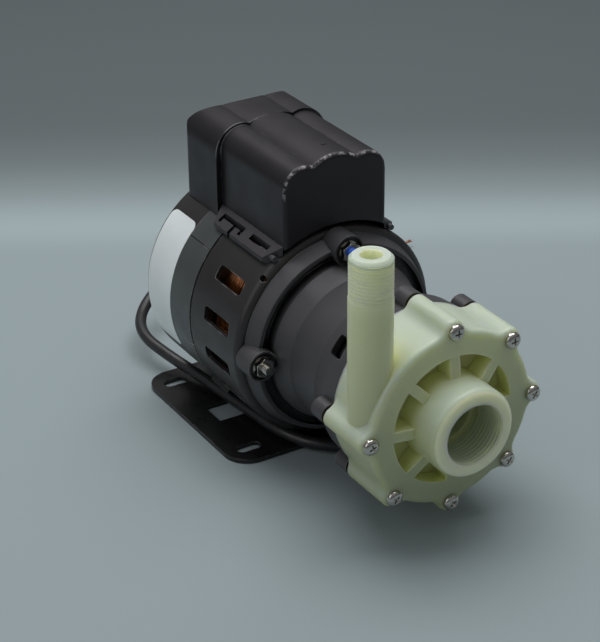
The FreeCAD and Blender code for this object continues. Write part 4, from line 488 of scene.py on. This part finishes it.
    def painted_side_light(self, low, high):
        """Painted light: the colours of light that comes down through the material, on faces that don't look
        up.
        """
        self.tint(self.facing("Z", 0.7, -0.25), low)
        return self.tint(self.facing("Z", 0.7, -0.25), high, self.along("Z", 0.0, 0.145))

    def specks(self, colour, scale, share, patches, spot_size=0.17):
        """Small scattered spots, gathered in patches."""
        cells = self.node("TexVoronoi", feature="F1")
        cells.inputs["Scale"].default_value = scale
        self.join(self.place(), cells.inputs["Vector"])
        spot = self.ranged(cells.outputs["Distance"], spot_size * 1.3, spot_size * 0.7)
        return self.tint(spot, colour, self.ranged(self.noise(patches, 2.0), 0.62 - share, 0.7 - share))

    def scratches(self, colour, scale, stretch, amount):
        """Fine lines, gathered in patches."""
        fine = self.ranged(self.noise(scale, 2.0, stretch), 0.68, 0.74, 0.0, amount)
        return self.tint(fine, colour, self.ranged(self.noise(35.0), 0.45, 0.65))


def dark_finishes():
    """The painted motor and the black mouldings."""
    made = [
        Finish("plate_black", (0.008, 0.008, 0.008), 0.3, Coat_Weight=0.2, Coat_Roughness=0.2)
        .soft_edges(0.4 * MM)
        .rough_between(0.26, 0.38)
        .grain(900.0, 0.004 * MM)
        .scratches((0.1, 0.1, 0.1), 60.0, (3, 22, 3), 0.35)
        .worn_and_lit_edges((0.16, 0.16, 0.155), gain=0.2),
        Finish("bell_dark", (0.027, 0.0245, 0.0255), 0.38)
        .soft_edges(0.35 * MM)
        .mottle(0.15)
        .rough_between(0.34, 0.44)
        .grain(1400.0, 0.006 * MM)
        # Painted shade: near black in the bells' grooves and hollows.
        .painted_hollow_shade((0.004, 0.004, 0.004), 8 * MM)
        .specks((0.3, 0.3, 0.28), 300.0, share=0.0, patches=20.0)
        # Wear and painted highlights: light lines along the rims of the vents and the bells' edges.
        .worn_and_lit_edges((0.3, 0.3, 0.295), 0.6 * MM, 0.1, 120.0),
        Finish("band_grey", (0.07, 0.078, 0.078), 0.42)
        .soft_edges(0.3 * MM)
        .mottle(0.2, 35.0)
        .rough_between(0.34, 0.46)
        .grain(1400.0, 0.006 * MM)
        .specks((0.42, 0.39, 0.25), 520.0, share=0.03, patches=34.0, spot_size=0.24)
        .worn_and_lit_edges((0.35, 0.35, 0.33), gain=0.15),
    ]
    mouldings = {
        name: Finish(name, colour, roughness, Specular_IOR_Level=0.4, Specular_Tint=(1, 0.94, 0.98, 1))
        .soft_edges(0.35 * MM)
        .mottle(0.1, 45.0)
        .rough_between(roughness - 0.05, roughness + 0.06, 60.0)
        .grain(3000.0, 0.004 * MM)
        # Painted shade: near black in hollows, such as the bracket's trough.
        .painted_hollow_shade((0.002, 0.002, 0.002), 16 * MM)
        .scratches((0.08, 0.08, 0.08), 70.0, (3, 20, 20), 0.25)
        # Wear and painted highlights along the mouldings' edges.
        .worn_and_lit_edges((0.16, 0.16, 0.165), 0.4 * MM, 0.2, 160.0)
        for name, colour, roughness in (
            ("bracket_black", (0.062, 0.062, 0.066), 0.42),
            ("cover_black", (0.0155, 0.0145, 0.0175), 0.42),
            ("clip_grey", (0.046, 0.044, 0.05), 0.5),
            ("fan_plastic", (0.05, 0.05, 0.05), 0.55),
        )
    }
    # Painted highlight: a bright line along the bracket's edges, chiefly the step at the dome's foot.
    mouldings["bracket_black"].worn_and_lit_edges((0.34, 0.34, 0.35), 0.5 * MM, 0.12, 40.0)
    # Painted highlights and wear along the cover's step and front edge.
    wear_and_highlight_cover(mouldings["cover_black"])
    return made + list(mouldings.values())


def wear_and_highlight_cover(cover):
    """Painted highlight along the cover's step, and bare plastic with painted highlight along the top of its
    front edge.
    """
    bare_and_lit_colour = (0.3, 0.3, 0.31)
    high_up = cover.along("Z", 0.142, 0.149)
    step = cover.product(
        cover.along("X", COVER_STEP - 2 * MM, COVER_STEP - 1 * MM),
        cover.along("X", COVER_STEP + 1 * MM, COVER_STEP + 0.3 * MM),
    )
    cover.worn_and_lit_edges(bare_and_lit_colour, 1.2 * MM, 0.1, 60.0, cover.product(step, high_up))
    edge = cover.product(cover.facing("X", 0.15, 0.4), cover.facing("X", 0.9, 0.7))
    scraped_and_lit = cover.ranged(cover.noise(420.0, 5.0, (0.4, 1, 1)), 0.46, 0.62)
    cover.tint(edge, bare_and_lit_colour, cover.product(scraped_and_lit, high_up))


def pale_finishes():
    """The translucent plastic of the pump head, with the light that comes through it from above painted into
    its colour.
    """
    made = []
    for name, colour in (("natural_plastic", (0.54, 0.62, 0.5)), ("wet_plastic", (0.5, 0.58, 0.44))):
        pale = (
            Finish(
                name,
                colour,
                0.36,
                Subsurface_Weight=1.0,
                Subsurface_Scale=7 * MM,
                Specular_IOR_Level=0.5,
            )
            .soft_edges(0.7 * MM)
            .mottle(0.04, 30.0)
            # Painted light: faces that don't look up are darker and yellower low down, paler higher up.
            .painted_side_light((0.38, 0.42, 0.26), (0.83, 0.87, 0.56))
            .rough_between(0.3, 0.42, 70.0)
            .grain(500.0, 0.008 * MM)
        )
        pale.shader.inputs["Subsurface Radius"].default_value = (1.0, 1.0, 0.6)
        # Painted light and shade: yellower in hollows below the top, where light arrives only through the
        # plastic.
        pale.painted_hollow_shade((0.76, 0.78, 0.38), 20 * MM, pale.along("Z", 0.145, 0.125))
        # Painted highlight: a paler rim round the inlet's mouth.
        lit_inlet_rim = pale.along("X", HOUSING_MOUTH - 8 * MM, HOUSING_MOUTH - 2 * MM)
        pale.tint(lit_inlet_rim, (0.86, 0.9, 0.66), pale.facing("X", 0.5, 0.9))
        # Painted light: the housing paler above about 130 mm.
        pale.tint(pale.along("Z", 0.125, 0.14), (0.84, 0.88, 0.64))
        # Painted light: faces above 152 mm that look up take a paler, bluer colour.
        pale.tint(pale.along("Z", 0.1512, 0.1522), (0.6, 0.68, 0.58), pale.facing("Z", 0.1, 0.6))
        # Painted light: the outlet's bore glows pale, as if lit through its wall.
        pale.tint(pale.near_upright(OUTLET_AXIS, 6 * MM), (0.9, 1.0, 0.74), pale.along("Z", 0.12, 0.13))
        made.append(pale)
    return made


def metal_finishes():
    core = Finish("core_steel", (0.3, 0.3, 0.31), 0.42, 1.0)
    sheets = core.node("TexWave", wave_type="BANDS", bands_direction="X")
    sheets.inputs["Scale"].default_value = 320.0
    core.join(core.place(), sheets.inputs["Vector"])
    wire = Finish("enamelled_copper", (0.55, 0.2, 0.06), 0.28, 0.75, Coat_Weight=0.6, Coat_Roughness=0.1)
    return [
        Finish("stainless", (0.56, 0.54, 0.5), 0.2, 1.0)
        .soft_edges(0.15 * MM)
        .mottle(0.12, 150.0)
        .rough_between(0.11, 0.2, 150.0),
        Finish("shaft_steel", (0.55, 0.55, 0.55), 0.25, 1.0).rough_between(0.2, 0.35, 30.0, (1, 60, 60)),
        Finish("capacitor_case", (0.6, 0.6, 0.6), 0.35, 1.0).rough_between(0.28, 0.45, 40.0, (1, 30, 30)),
        core.mottle(0.4, 120.0).bump(sheets.outputs["Fac"], 0.08 * MM),
        Finish("rotor_aluminium", (0.5, 0.5, 0.5), 0.4, 1.0).mottle(0.3, 200.0).grain(900.0, 0.05 * MM),
        wire.mottle(0.45, 260.0),
        Finish("copper", (0.72, 0.34, 0.19), 0.3, 1.0).mottle(0.35, 500.0),
        Finish("sintered_bronze", (0.4, 0.27, 0.13), 0.45, 1.0).mottle(0.3, 700.0),
    ]


def small_finishes():
    """Magnets, ceramics, rubber and paper."""
    made = [
        Finish("pin_grey", (0.07, 0.07, 0.075), 0.45).mottle(0.2, 300.0),
        Finish("magnet_ferrite", (0.06, 0.06, 0.065), 0.5).mottle(0.25, 300.0).grain(2500.0, 0.02 * MM),
        Finish("white_ceramic", (0.75, 0.74, 0.7), 0.18).mottle(0.05, 200.0),
        Finish("carbon_bushing", (0.035, 0.035, 0.036), 0.35).mottle(0.2, 500.0),
        Finish("label_paper", (0.86, 0.92, 0.93), 0.42, Coat_Weight=0.2, Coat_Roughness=0.25)
        .mottle(0.06, 40.0)
        .grain(1600.0, 0.004 * MM),
    ]
    for name, colour, roughness in (
        ("seal_rubber", (0.02, 0.02, 0.02), 0.6),
        ("cord_rubber", (0.022, 0.022, 0.024), 0.34),
    ):
        made.append(
            Finish(name, colour, roughness)
            .mottle(0.2, 120.0)
            .rough_between(roughness - 0.06, roughness + 0.12, 150.0)
            .grain(1800.0, 0.006 * MM)
        )
    return made


def plain(name, colour, roughness):
    return Finish(name, colour, roughness).mottle(0.15, 200.0).grain(1500.0, 0.02 * MM).material


def dress(piece, material):
    piece.data.materials.clear()
    piece.data.materials.append(material)


def dress_nodes():
    for part in frame["record"]["subparts"]:
        dress(nodes[part["node"]], MATERIALS[part["material_slot"]])


def dress_cord():
    dress(cord, MATERIALS["cord_rubber"])
    dress(strands, MATERIALS["copper"])
    for colour, conductor in conductors.items():
        dress(conductor, plain(f"insulation_{colour}", INSULATION[colour], 0.4))


def shade(mesh, degrees=SHARP_DEGREES):
    """Smooth faces with sharp edges where they turn by more than the angle."""
    bm = bmesh.new()
    bm.from_mesh(mesh)
    limit = math.radians(degrees)
    for face in bm.faces:
        face.smooth = True
    for edge in bm.edges:
        edge.smooth = len(edge.link_faces) == 2 and edge.calc_face_angle(math.pi) < limit
    bm.to_mesh(mesh)
    bm.free()


def skin(loops, ring=False):
    """A closed mesh through loops of points. Its ends are capped, or joined to each other for a ring."""
    bm = bmesh.new()
    rows = [[bm.verts.new(point) for point in loop] for loop in loops]
    pairs = list(zip(rows, rows[1:])) + ([(rows[-1], rows[0])] if ring else [])
    for near, far in pairs:
        for k in range(len(near)):
            bm.faces.new((near[k - 1], near[k], far[k], far[k - 1]))
    if not ring:
        bm.faces.new(rows[0])
        bm.faces.new(rows[-1])
    bmesh.ops.recalc_face_normals(bm, faces=bm.faces)
    return bm


def to_mesh(bm, name):
    mesh = bpy.data.meshes.new(name)
    bm.to_mesh(mesh)
    bm.free()
    return mesh


def circle_loop(x, radius, count):
    """Points round the X axis; the radius is a number or a function of the angle."""
    angles = [2 * math.pi * k / count for k in range(count)]
    radii = [radius(angle) if callable(radius) else radius for angle in angles]
    return [Vector((x, r * math.cos(angle), r * math.sin(angle))) for r, angle in zip(radii, angles)]


def turned(profile, count):
    """A solid turned about X from (x, radius) pairs."""
    return skin([circle_loop(x, radius, count) for x, radius in profile])


def thread_loops(start, end, radius, depth, pitch, count, fade):
    """Loops of a screw thread along X that fades out at both ends. It is cut into the radius by the depth,
    or raised from it where the depth is negative."""
    steps = math.ceil((end - start) / pitch * 8)
    loops = []
    for k in range(steps + 1):
        x = start + (end - start) * k / steps
        full = smooth_step((x - start) / fade[0]) * smooth_step((end - x) / fade[1])

        def radius_at(angle, x=x, full=full):
            phase = (x / pitch + angle / (2 * math.pi)) % 1
            groove = max(0.0, min(1.0, (abs(phase - 0.5) * 2 - 0.15) / 0.75))
            return radius - depth * full * groove

        loops.append(circle_loop(x, radius_at, count))
    return loops


def welded(node):
    """The node's own mesh with its corners joined."""
    bm = bmesh.new()
    bm.from_mesh(nodes[node].data)
    bmesh.ops.remove_doubles(bm, verts=bm.verts, dist=0.001 * MM)
    return bm


def round_shaft(box):
    """The angle round the shaft of the middle of a box."""
    return math.atan2(box[0].z + box[1].z - 2 * SHAFT_HEIGHT, box[0].y + box[1].y)


def solids_of(node):
    """The box of each separate solid of a node, in order round the shaft, as (lowest, highest corner)."""
    bm = welded(node)
    left = set(bm.verts)
    boxes = []
    while left:
        reached = [left.pop()]
        island = []
        while reached:
            vert = reached.pop()
            island.append(vert.co.copy())
            for edge in vert.link_edges:
                other = edge.other_vert(vert)
                if other in left:
                    left.remove(other)
                    reached.append(other)
        boxes.append((Vector(map(min, zip(*island))), Vector(map(max, zip(*island)))))
    bm.free()
    return sorted(boxes, key=round_shaft)


def combine(mesh, tool, operation="DIFFERENCE"):
    """The mesh after a boolean with the tool's mesh."""
    piece, cutter = link("piece", mesh), link("tool", tool)
    modifier = piece.modifiers.new("combine", "BOOLEAN")
    modifier.operation = operation
    modifier.object = cutter
    modifier.solver = "EXACT"
    bpy.context.view_layer.update()
    done = bpy.data.meshes.new_from_object(piece.evaluated_get(bpy.context.evaluated_depsgraph_get()))
    bpy.data.objects.remove(piece)
    bpy.data.objects.remove(cutter)
    return done


def move(bm, matrix):
    bmesh.ops.transform(bm, matrix=matrix, verts=bm.verts)


def copies(mesh, places, name):
    """One mesh that holds the given one at each place."""
    bm = bmesh.new()
    for place in places:
        before = len(bm.verts)
        bm.from_mesh(mesh)
        bmesh.ops.transform(bm, matrix=place, verts=bm.verts[before:])
    return to_mesh(bm, name)


def add_piece(name, mesh, slot, replaced):
    """A piece that stands for a node of the fixed body."""
    shade(mesh)
    piece = link(name, mesh)
    dress(piece, MATERIALS[slot])
    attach(piece, "pump")
    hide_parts(replaced)
    modifier = piece.modifiers.new("normals", "WEIGHTED_NORMAL")
    modifier.keep_sharp = True


def make_housing():
    """The pale housing, with its pipe threads cut into the inlet and then the outlet: the other order leaves
    a skin across the inlet's passage."""
    mesh = to_mesh(welded("pump_housing"), "pump_housing_threaded")
    first, last = HOUSING_MOUTH - INLET_DEPTH + 0.4 * MM, HOUSING_MOUTH + 1 * MM
    inside = INLET_RADIUS - 0.01 * MM
    loops = thread_loops(first, last, inside, -INLET_THREAD_DEPTH, INLET_PITCH, INLET_SIDES, INLET_FADE)
    plug = skin(loops)
    move(plug, Matrix.Translation((0, 0, SHAFT_HEIGHT)))
    mesh = combine(mesh, to_mesh(plug, "inlet_thread"))

    top, end = HOUSING_TOP - OUTLET_CHAMFER, HOUSING_TOP - OUTLET_THREAD
    surface = OUTLET_RADIUS + 0.005 * MM
    loops = thread_loops(end, top, surface, OUTLET_THREAD_DEPTH, OUTLET_PITCH, OUTLET_SIDES, OUTLET_FADE)
    loops += [circle_loop(x, OUTLET_RADIUS + 2 * MM, OUTLET_SIDES) for x in (top, end)]
    ring = skin(loops, ring=True)
    move(ring, Matrix.Translation(OUTLET_AXIS) @ Matrix.Rotation(-math.pi / 2, 4, "Y"))
    mesh = combine(mesh, to_mesh(ring, "outlet_thread"))
    add_piece("pump_housing_threaded", mesh, "natural_plastic", "pump_housing")


def cross_recess(top, depth, reach, width):
    """Two tapered blades for the recess of a cross-head screw, as one cutter each."""
    blades = []
    for turn in (0, math.pi / 2):
        loops = []
        for x, half, thick in (
            (top - depth, reach * 0.35, width * 0.55),
            (top + 0.6 * MM, reach * 1.12, width * 1.05),
        ):
            corners = ((-half, -thick / 2), (half, -thick / 2), (half, thick / 2), (-half, thick / 2))
            loops.append([Vector((x, y, z)) for y, z in corners])
        bm = skin(loops)
        move(bm, Matrix.Rotation(turn, 4, "X"))
        blades.append(to_mesh(bm, "blade"))
    return blades


def make_housing_screws():
    """Seven pan-head screws with a cross recess, each turned as the driver left it."""
    draw = random.Random(SCREW_SEED)
    solids = solids_of("housing_screws")
    front = max(high.x for _, high in solids)
    rear = min(low.x for low, _ in solids)
    seat = front - SCREW_HEAD
    radius = (solids[0][1].y - solids[0][0].y) / 2
    profile = [(rear - seat, SCREW_SHANK), (0, SCREW_SHANK), (0, radius)]
    for a in (math.radians(step) for step in range(0, 91, 10)):
        x = SCREW_HEAD_SIDE + (SCREW_HEAD - SCREW_HEAD_SIDE) * math.sin(a)
        profile.append((x, radius * (SCREW_HEAD_FLAT + (1 - SCREW_HEAD_FLAT) * math.cos(a))))
    mesh = to_mesh(turned(profile, 40), "pan_head")
    for blade in cross_recess(SCREW_HEAD, RECESS_DEPTH, RECESS_REACH, RECESS_WIDTH):
        mesh = combine(mesh, blade)
    places = []
    for box in solids:
        centre = middle_of(box)
        centre.x = seat
        places.append(Matrix.Translation(centre) @ Matrix.Rotation(draw.uniform(0, math.pi / 2), 4, "X"))
    add_piece("pan_head_screws", copies(mesh, places, "pan_head_screws"), "stainless", "housing_screws")


def hexagon(width, x):
    corner = width / math.sqrt(3)
    angles = [k * math.pi / 3 for k in range(6)]
    return [Vector((x, corner * math.cos(angle), corner * math.sin(angle))) for angle in angles]


def bevelled_hexagon(width, height, bevel_both):
    """A hexagon whose corners are turned down, on its far end or both."""
    prism = to_mesh(skin([hexagon(width, 0), hexagon(width, height)]), "prism")
    corner = width / math.sqrt(3) * 1.01
    face = width / 2 * 0.97
    drop = (corner - face) * CORNER_TURN
    near = [(0, face), (drop, corner)] if bevel_both else [(0, corner), (0.01 * MM, corner)]
    profile = near + [(height - drop, corner), (height, face)]
    return combine(prism, to_mesh(turned(profile, 60), "bevel"), "INTERSECT")


def make_bolts():
    """The four through bolts with threaded ends, and their nuts."""
    draw = random.Random(BOLT_SEED)
    solids = solids_of("through_bolts")
    axes = [middle_of(box) for box in solids]
    for axis in axes:
        axis.x = 0
    low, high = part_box("bolt_nuts")

    rear, front = solids[0][0].x, solids[0][1].x
    start, end = low.x - 4 * MM, front - 0.5 * MM
    loops = [circle_loop(x, BOLT_RADIUS, BOLT_SIDES) for x in (rear + BOLT_HEAD * 0.5, start - 0.1 * MM)]
    loops += thread_loops(start, end, BOLT_RADIUS, BOLT_THREAD_DEPTH, BOLT_PITCH, BOLT_SIDES, BOLT_FADE)
    loops.append(circle_loop(front, BOLT_RADIUS - 0.5 * MM, BOLT_SIDES))
    bm = skin(loops)
    bolt_head = bevelled_hexagon(BOLT_HEAD_WIDTH, BOLT_HEAD, False)
    bolt_head.transform(Matrix.Translation((rear + BOLT_HEAD, 0, 0)) @ Matrix.Rotation(math.pi, 4, "Z"))
    bm.from_mesh(bolt_head)
    bolt = to_mesh(bm, "bolt")
    turns = [Matrix.Rotation(draw.uniform(0, math.pi / 3), 4, "X") for _ in axes]
    places = [Matrix.Translation(axis) @ turn for axis, turn in zip(axes, turns)]
    add_piece("threaded_through_bolts", copies(bolt, places, "through_bolts"), "stainless", "through_bolts")

    height = high.x - low.x
    bore = [
        (-1 * MM, NUT_MOUTH + 0.15 * MM),
        (0.0, NUT_MOUTH),
        (0.5 * MM, BOLT_RADIUS),
        (height - 0.5 * MM, BOLT_RADIUS),
        (height, NUT_MOUTH),
        (height + 1 * MM, NUT_MOUTH + 0.15 * MM),
    ]
    nut = combine(bevelled_hexagon(NUT_WIDTH, height, True), to_mesh(turned(bore, 36), "bore"))
    turns = [Matrix.Rotation(draw.uniform(0, math.pi / 3), 4, "X") for _ in axes]
    places = [Matrix.Translation(axis + X_AXIS * low.x) @ turn for axis, turn in zip(axes, turns)]
    add_piece("bevelled_bolt_nuts", copies(nut, places, "bolt_nuts"), "stainless", "bolt_nuts")


def make_strain_relief():
    """A ribbed rubber boot that tapers towards the cord."""
    low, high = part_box("strain_relief")
    centre = (low + high) / 2
    boot_end = BOOT_FLANGE_REAR - 0.4 * MM
    profile = [
        (high.x, 0.5 * MM),
        (high.x, BOOT_RADIUS),
        (BOOT_FLANGE_FRONT, BOOT_RADIUS),
        (BOOT_FLANGE_FRONT, BOOT_FLANGE - 0.3 * MM),
        (BOOT_FLANGE_FRONT - 0.3 * MM, BOOT_FLANGE),
        (BOOT_FLANGE_REAR + 0.3 * MM, BOOT_FLANGE),
        (BOOT_FLANGE_REAR, BOOT_FLANGE - 0.4 * MM),
        (boot_end, BOOT_RADIUS + 0.4 * MM),
    ]
    length = boot_end - low.x
    step = length / BOOT_RIBS
    for k in range(BOOT_RIBS):
        share = k / BOOT_RIBS
        radius = (5.6 - 1.3 * share) * MM
        for part, drop in RIB_PROFILE:
            profile.append((boot_end - length * share - step * part, radius - drop * MM))
    profile += [(low.x + 0.25 * MM, 4.3 * MM), (low.x, 4.05 * MM), (low.x, 0.5 * MM)]
    bm = turned(profile, 40)
    move(bm, Matrix.Translation((0, centre.y, centre.z)))
    add_piece("ribbed_strain_relief", to_mesh(bm, "strain_relief"), "seal_rubber", "strain_relief")


def make_label():
    """The bare rating label: a thin sheet with rounded corners, bent round the rear bell."""
    low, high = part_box("rating_label")
    length = LABEL_RADIUS * LABEL_SWEEP
    bends = [LABEL_CORNER * (1 - math.cos(math.radians(a))) for a in range(0, 91, 15)]
    straight = length - 2 * LABEL_CORNER
    rows = bends + [LABEL_CORNER + straight * k / LABEL_ROWS for k in range(1, LABEL_ROWS)]
    rows += [length - bend for bend in reversed(bends)]
    last_row, last_column = len(rows) - 1, LABEL_COLUMNS - 1
    bm = bmesh.new()
    under, over = [], []
    for grid, radius in ((under, LABEL_RADIUS), (over, LABEL_RADIUS + LABEL_THICKNESS)):
        for v in rows:
            into = max(0.0, LABEL_CORNER - min(v, length - v))
            inset = LABEL_CORNER - math.sqrt(max(LABEL_CORNER**2 - into**2, 0.0))
            angle = LABEL_FIRST + v / LABEL_RADIUS
            y, z = radius * math.cos(angle), SHAFT_HEIGHT + radius * math.sin(angle)
            row = []
            for k in range(LABEL_COLUMNS):
                x = low.x + inset + (high.x - low.x - 2 * inset) * k / last_column
                row.append(bm.verts.new((x, y, z)))
            grid.append(row)
        for i in range(last_row):
            for k in range(last_column):
                bm.faces.new((grid[i][k], grid[i][k + 1], grid[i + 1][k + 1], grid[i + 1][k]))
    rim = [(0, k) for k in range(LABEL_COLUMNS)] + [(i, last_column) for i in range(1, last_row)]
    rim += [(last_row, k) for k in range(last_column, -1, -1)] + [(i, 0) for i in range(last_row - 1, 0, -1)]
    for (i, k), (m, n) in zip(rim, rim[1:] + rim[:1]):
        bm.faces.new((under[i][k], under[m][n], over[m][n], over[i][k]))
    bmesh.ops.recalc_face_normals(bm, faces=bm.faces)
    add_piece("bare_label", to_mesh(bm, "label"), "label_paper", "rating_label")


def place_on(path, lengths, along):
    """The (x, radius) that lies this far along the path, whose runs have these lengths."""
    along = max(0.0, min(sum(lengths), along))
    for a, b, length in zip(path, path[1:], lengths):
        if along <= length or b == path[-1]:
            share = along / length
            return a[0] + (b[0] - a[0]) * share, a[1] + (b[1] - a[1]) * share
        along -= length


def make_winding_wires():
    """Enamelled wires on the end turns, where the vents show them."""
    draw = random.Random(WIRE_SEED)
    low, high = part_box("stator_windings")
    line = round_line("winding_wires", 1, 3)
    line.use_fill_caps = False
    for end, inward, reach in ((high.x, -1, FRONT_TURNS), (low.x, 1, REAR_TURNS)):
        path = [
            (end + inward * reach, TURNS_OUTSIDE),
            (end + inward * TURNS_CORNER, TURNS_OUTSIDE),
            (end, TURNS_OUTSIDE - TURNS_CORNER),
            (end, TURNS_INSIDE + TURNS_CORNER),
        ]
        lengths = [math.dist(a, b) for a, b in zip(path, path[1:])]
        for k in range(int(sum(lengths) / WIRE_SPACING)):
            phase = draw.uniform(-0.25, 0.25)
            lift = draw.uniform(-0.2, 0.25) * MM
            points = []
            for step in range(WIRE_STEPS):
                angle = 2 * math.pi * step / WIRE_STEPS
                sway = math.sin(8 * angle + phase) * 1.1 * MM + math.sin(3 * angle) * 0.8 * MM
                x, radius = place_on(path, lengths, (k + 0.5) * WIRE_SPACING + sway)
                radius += lift
                points.append((x, radius * math.cos(angle), SHAFT_HEIGHT + radius * math.sin(angle)))
            spline = add_spline(line, points, WIRE_RADIUS)
            spline.use_endpoint_u = False
            spline.use_cyclic_u = True
    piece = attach(link("winding_wires", line), "pump")
    dress(piece, MATERIALS["enamelled_copper"])


def make_paint_mark():
    """The blue locking paint over the top bolt's end."""
    top = max(solids_of("through_bolts"), key=lambda box: box[1].z)
    centre = middle_of(top)
    centre.x = top[1].x
    profile = [
        (-3.1 * MM, 2.9 * MM),
        (-2.6 * MM, 2.65 * MM),
        (-1.2 * MM, 2.55 * MM),
        (-0.1 * MM, 2.5 * MM),
        (0.25 * MM, 2.1 * MM),
        (0.42 * MM, 1.2 * MM),
        (0.46 * MM, 0.05 * MM),
    ]
    bm = turned(profile, 24)
    for vert in bm.verts:
        vert.co.y += 0.25 * MM * math.sin(vert.co.z * 3000)
    move(bm, Matrix.Translation(centre))
    mesh = to_mesh(bm, "paint_mark")
    shade(mesh, 60.0)
    piece = link("blue_paint_mark", mesh)
    dress(piece, plain("blue_paint", (0.01, 0.1, 0.6), 0.35))
    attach(piece, "pump")


def make_floor():
    """A pale grey floor that darkens behind the pump, as the studio's backdrop does."""
    mesh = bpy.data.meshes.new("floor")
    half = FLOOR_HALF_SIDE
    corners = [(-half, -half, 0), (half, -half, 0), (half, half, 0), (-half, half, 0)]
    mesh.from_pydata(corners, [], [(0, 1, 2, 3)])
    floor = link("floor", mesh)
    finish = Finish("floor_grey", FLOOR_COLOUR, 0.75)
    across = finish.node("VectorMath", operation="DOT_PRODUCT")
    across.inputs[1].default_value = AWAY
    finish.join(finish.place(), across.inputs[0])
    near, far = BACKDROP[0][0], BACKDROP[-1][0]
    share = finish.node("MapRange")
    share.inputs["From Min"].default_value = near
    share.inputs["From Max"].default_value = far
    finish.join(across.outputs["Value"], share.inputs["Value"])
    ramp = finish.node("ValToRGB")
    ramp.color_ramp.interpolation = "CARDINAL"
    stops = ramp.color_ramp.elements
    for distance, _ in BACKDROP[1:-1]:
        stops.new((distance - near) / (far - near))
    for stop, (_, brightness) in zip(stops, BACKDROP):
        stop.color = (*(channel * brightness for channel in FLOOR_COLOUR), 1)
    finish.join(share.outputs["Result"], ramp.inputs["Fac"])
    finish.join(ramp.outputs["Color"], finish.shader.inputs["Base Color"])
    dress(floor, finish.material)


def add_lamp(name, place, size, power):
    """A soft lamp that looks at the pump."""
    lamp = bpy.data.lights.new(name, "AREA")
    lamp.shape = "RECTANGLE"
    lamp.size, lamp.size_y = size
    lamp.energy = power
    piece = link(name, lamp)
    piece.location = place
    piece.rotation_euler = (LIT_POINT - place).to_track_quat("-Z", "Y").to_euler()


def light_room():
    """The room's own light, brighter from above."""
    world = bpy.data.worlds.new("studio")
    world.use_nodes = True
    tree = world.node_tree
    parts = tree.nodes.new("ShaderNodeSeparateXYZ")
    tree.links.new(tree.nodes.new("ShaderNodeTexCoord").outputs["Generated"], parts.inputs[0])
    ramp = tree.nodes.new("ShaderNodeValToRGB")
    stops = ramp.color_ramp.elements
    stops[0].color, stops[1].color = ROOM_LOW, ROOM_HIGH
    tree.links.new(parts.outputs["Z"], ramp.inputs["Fac"])
    tree.links.new(ramp.outputs["Color"], tree.nodes["Background"].inputs["Color"])
    bpy.context.scene.world = world


make_camera()
cord = make_cord()
conductors = make_conductors()
strands = make_strands()

finishes = dark_finishes() + pale_finishes() + metal_finishes() + small_finishes()
MATERIALS = {finish.name: finish.material for finish in finishes}
dress_nodes()
dress_cord()
make_housing()
make_housing_screws()
make_bolts()
make_strain_relief()
make_label()
make_winding_wires()
make_paint_mark()

make_floor()
add_lamp("overhead", AWAY * 0.3 + Z_AXIS * 1.3, (1.4, 1.1), 15.5)
add_lamp("fill", -AWAY * 0.7 - RIGHT * 0.9 + Z_AXIS * 0.7, (0.9, 0.9), 2.2)
light_room()
bpy.context.scene.view_settings.view_transform = "Standard"
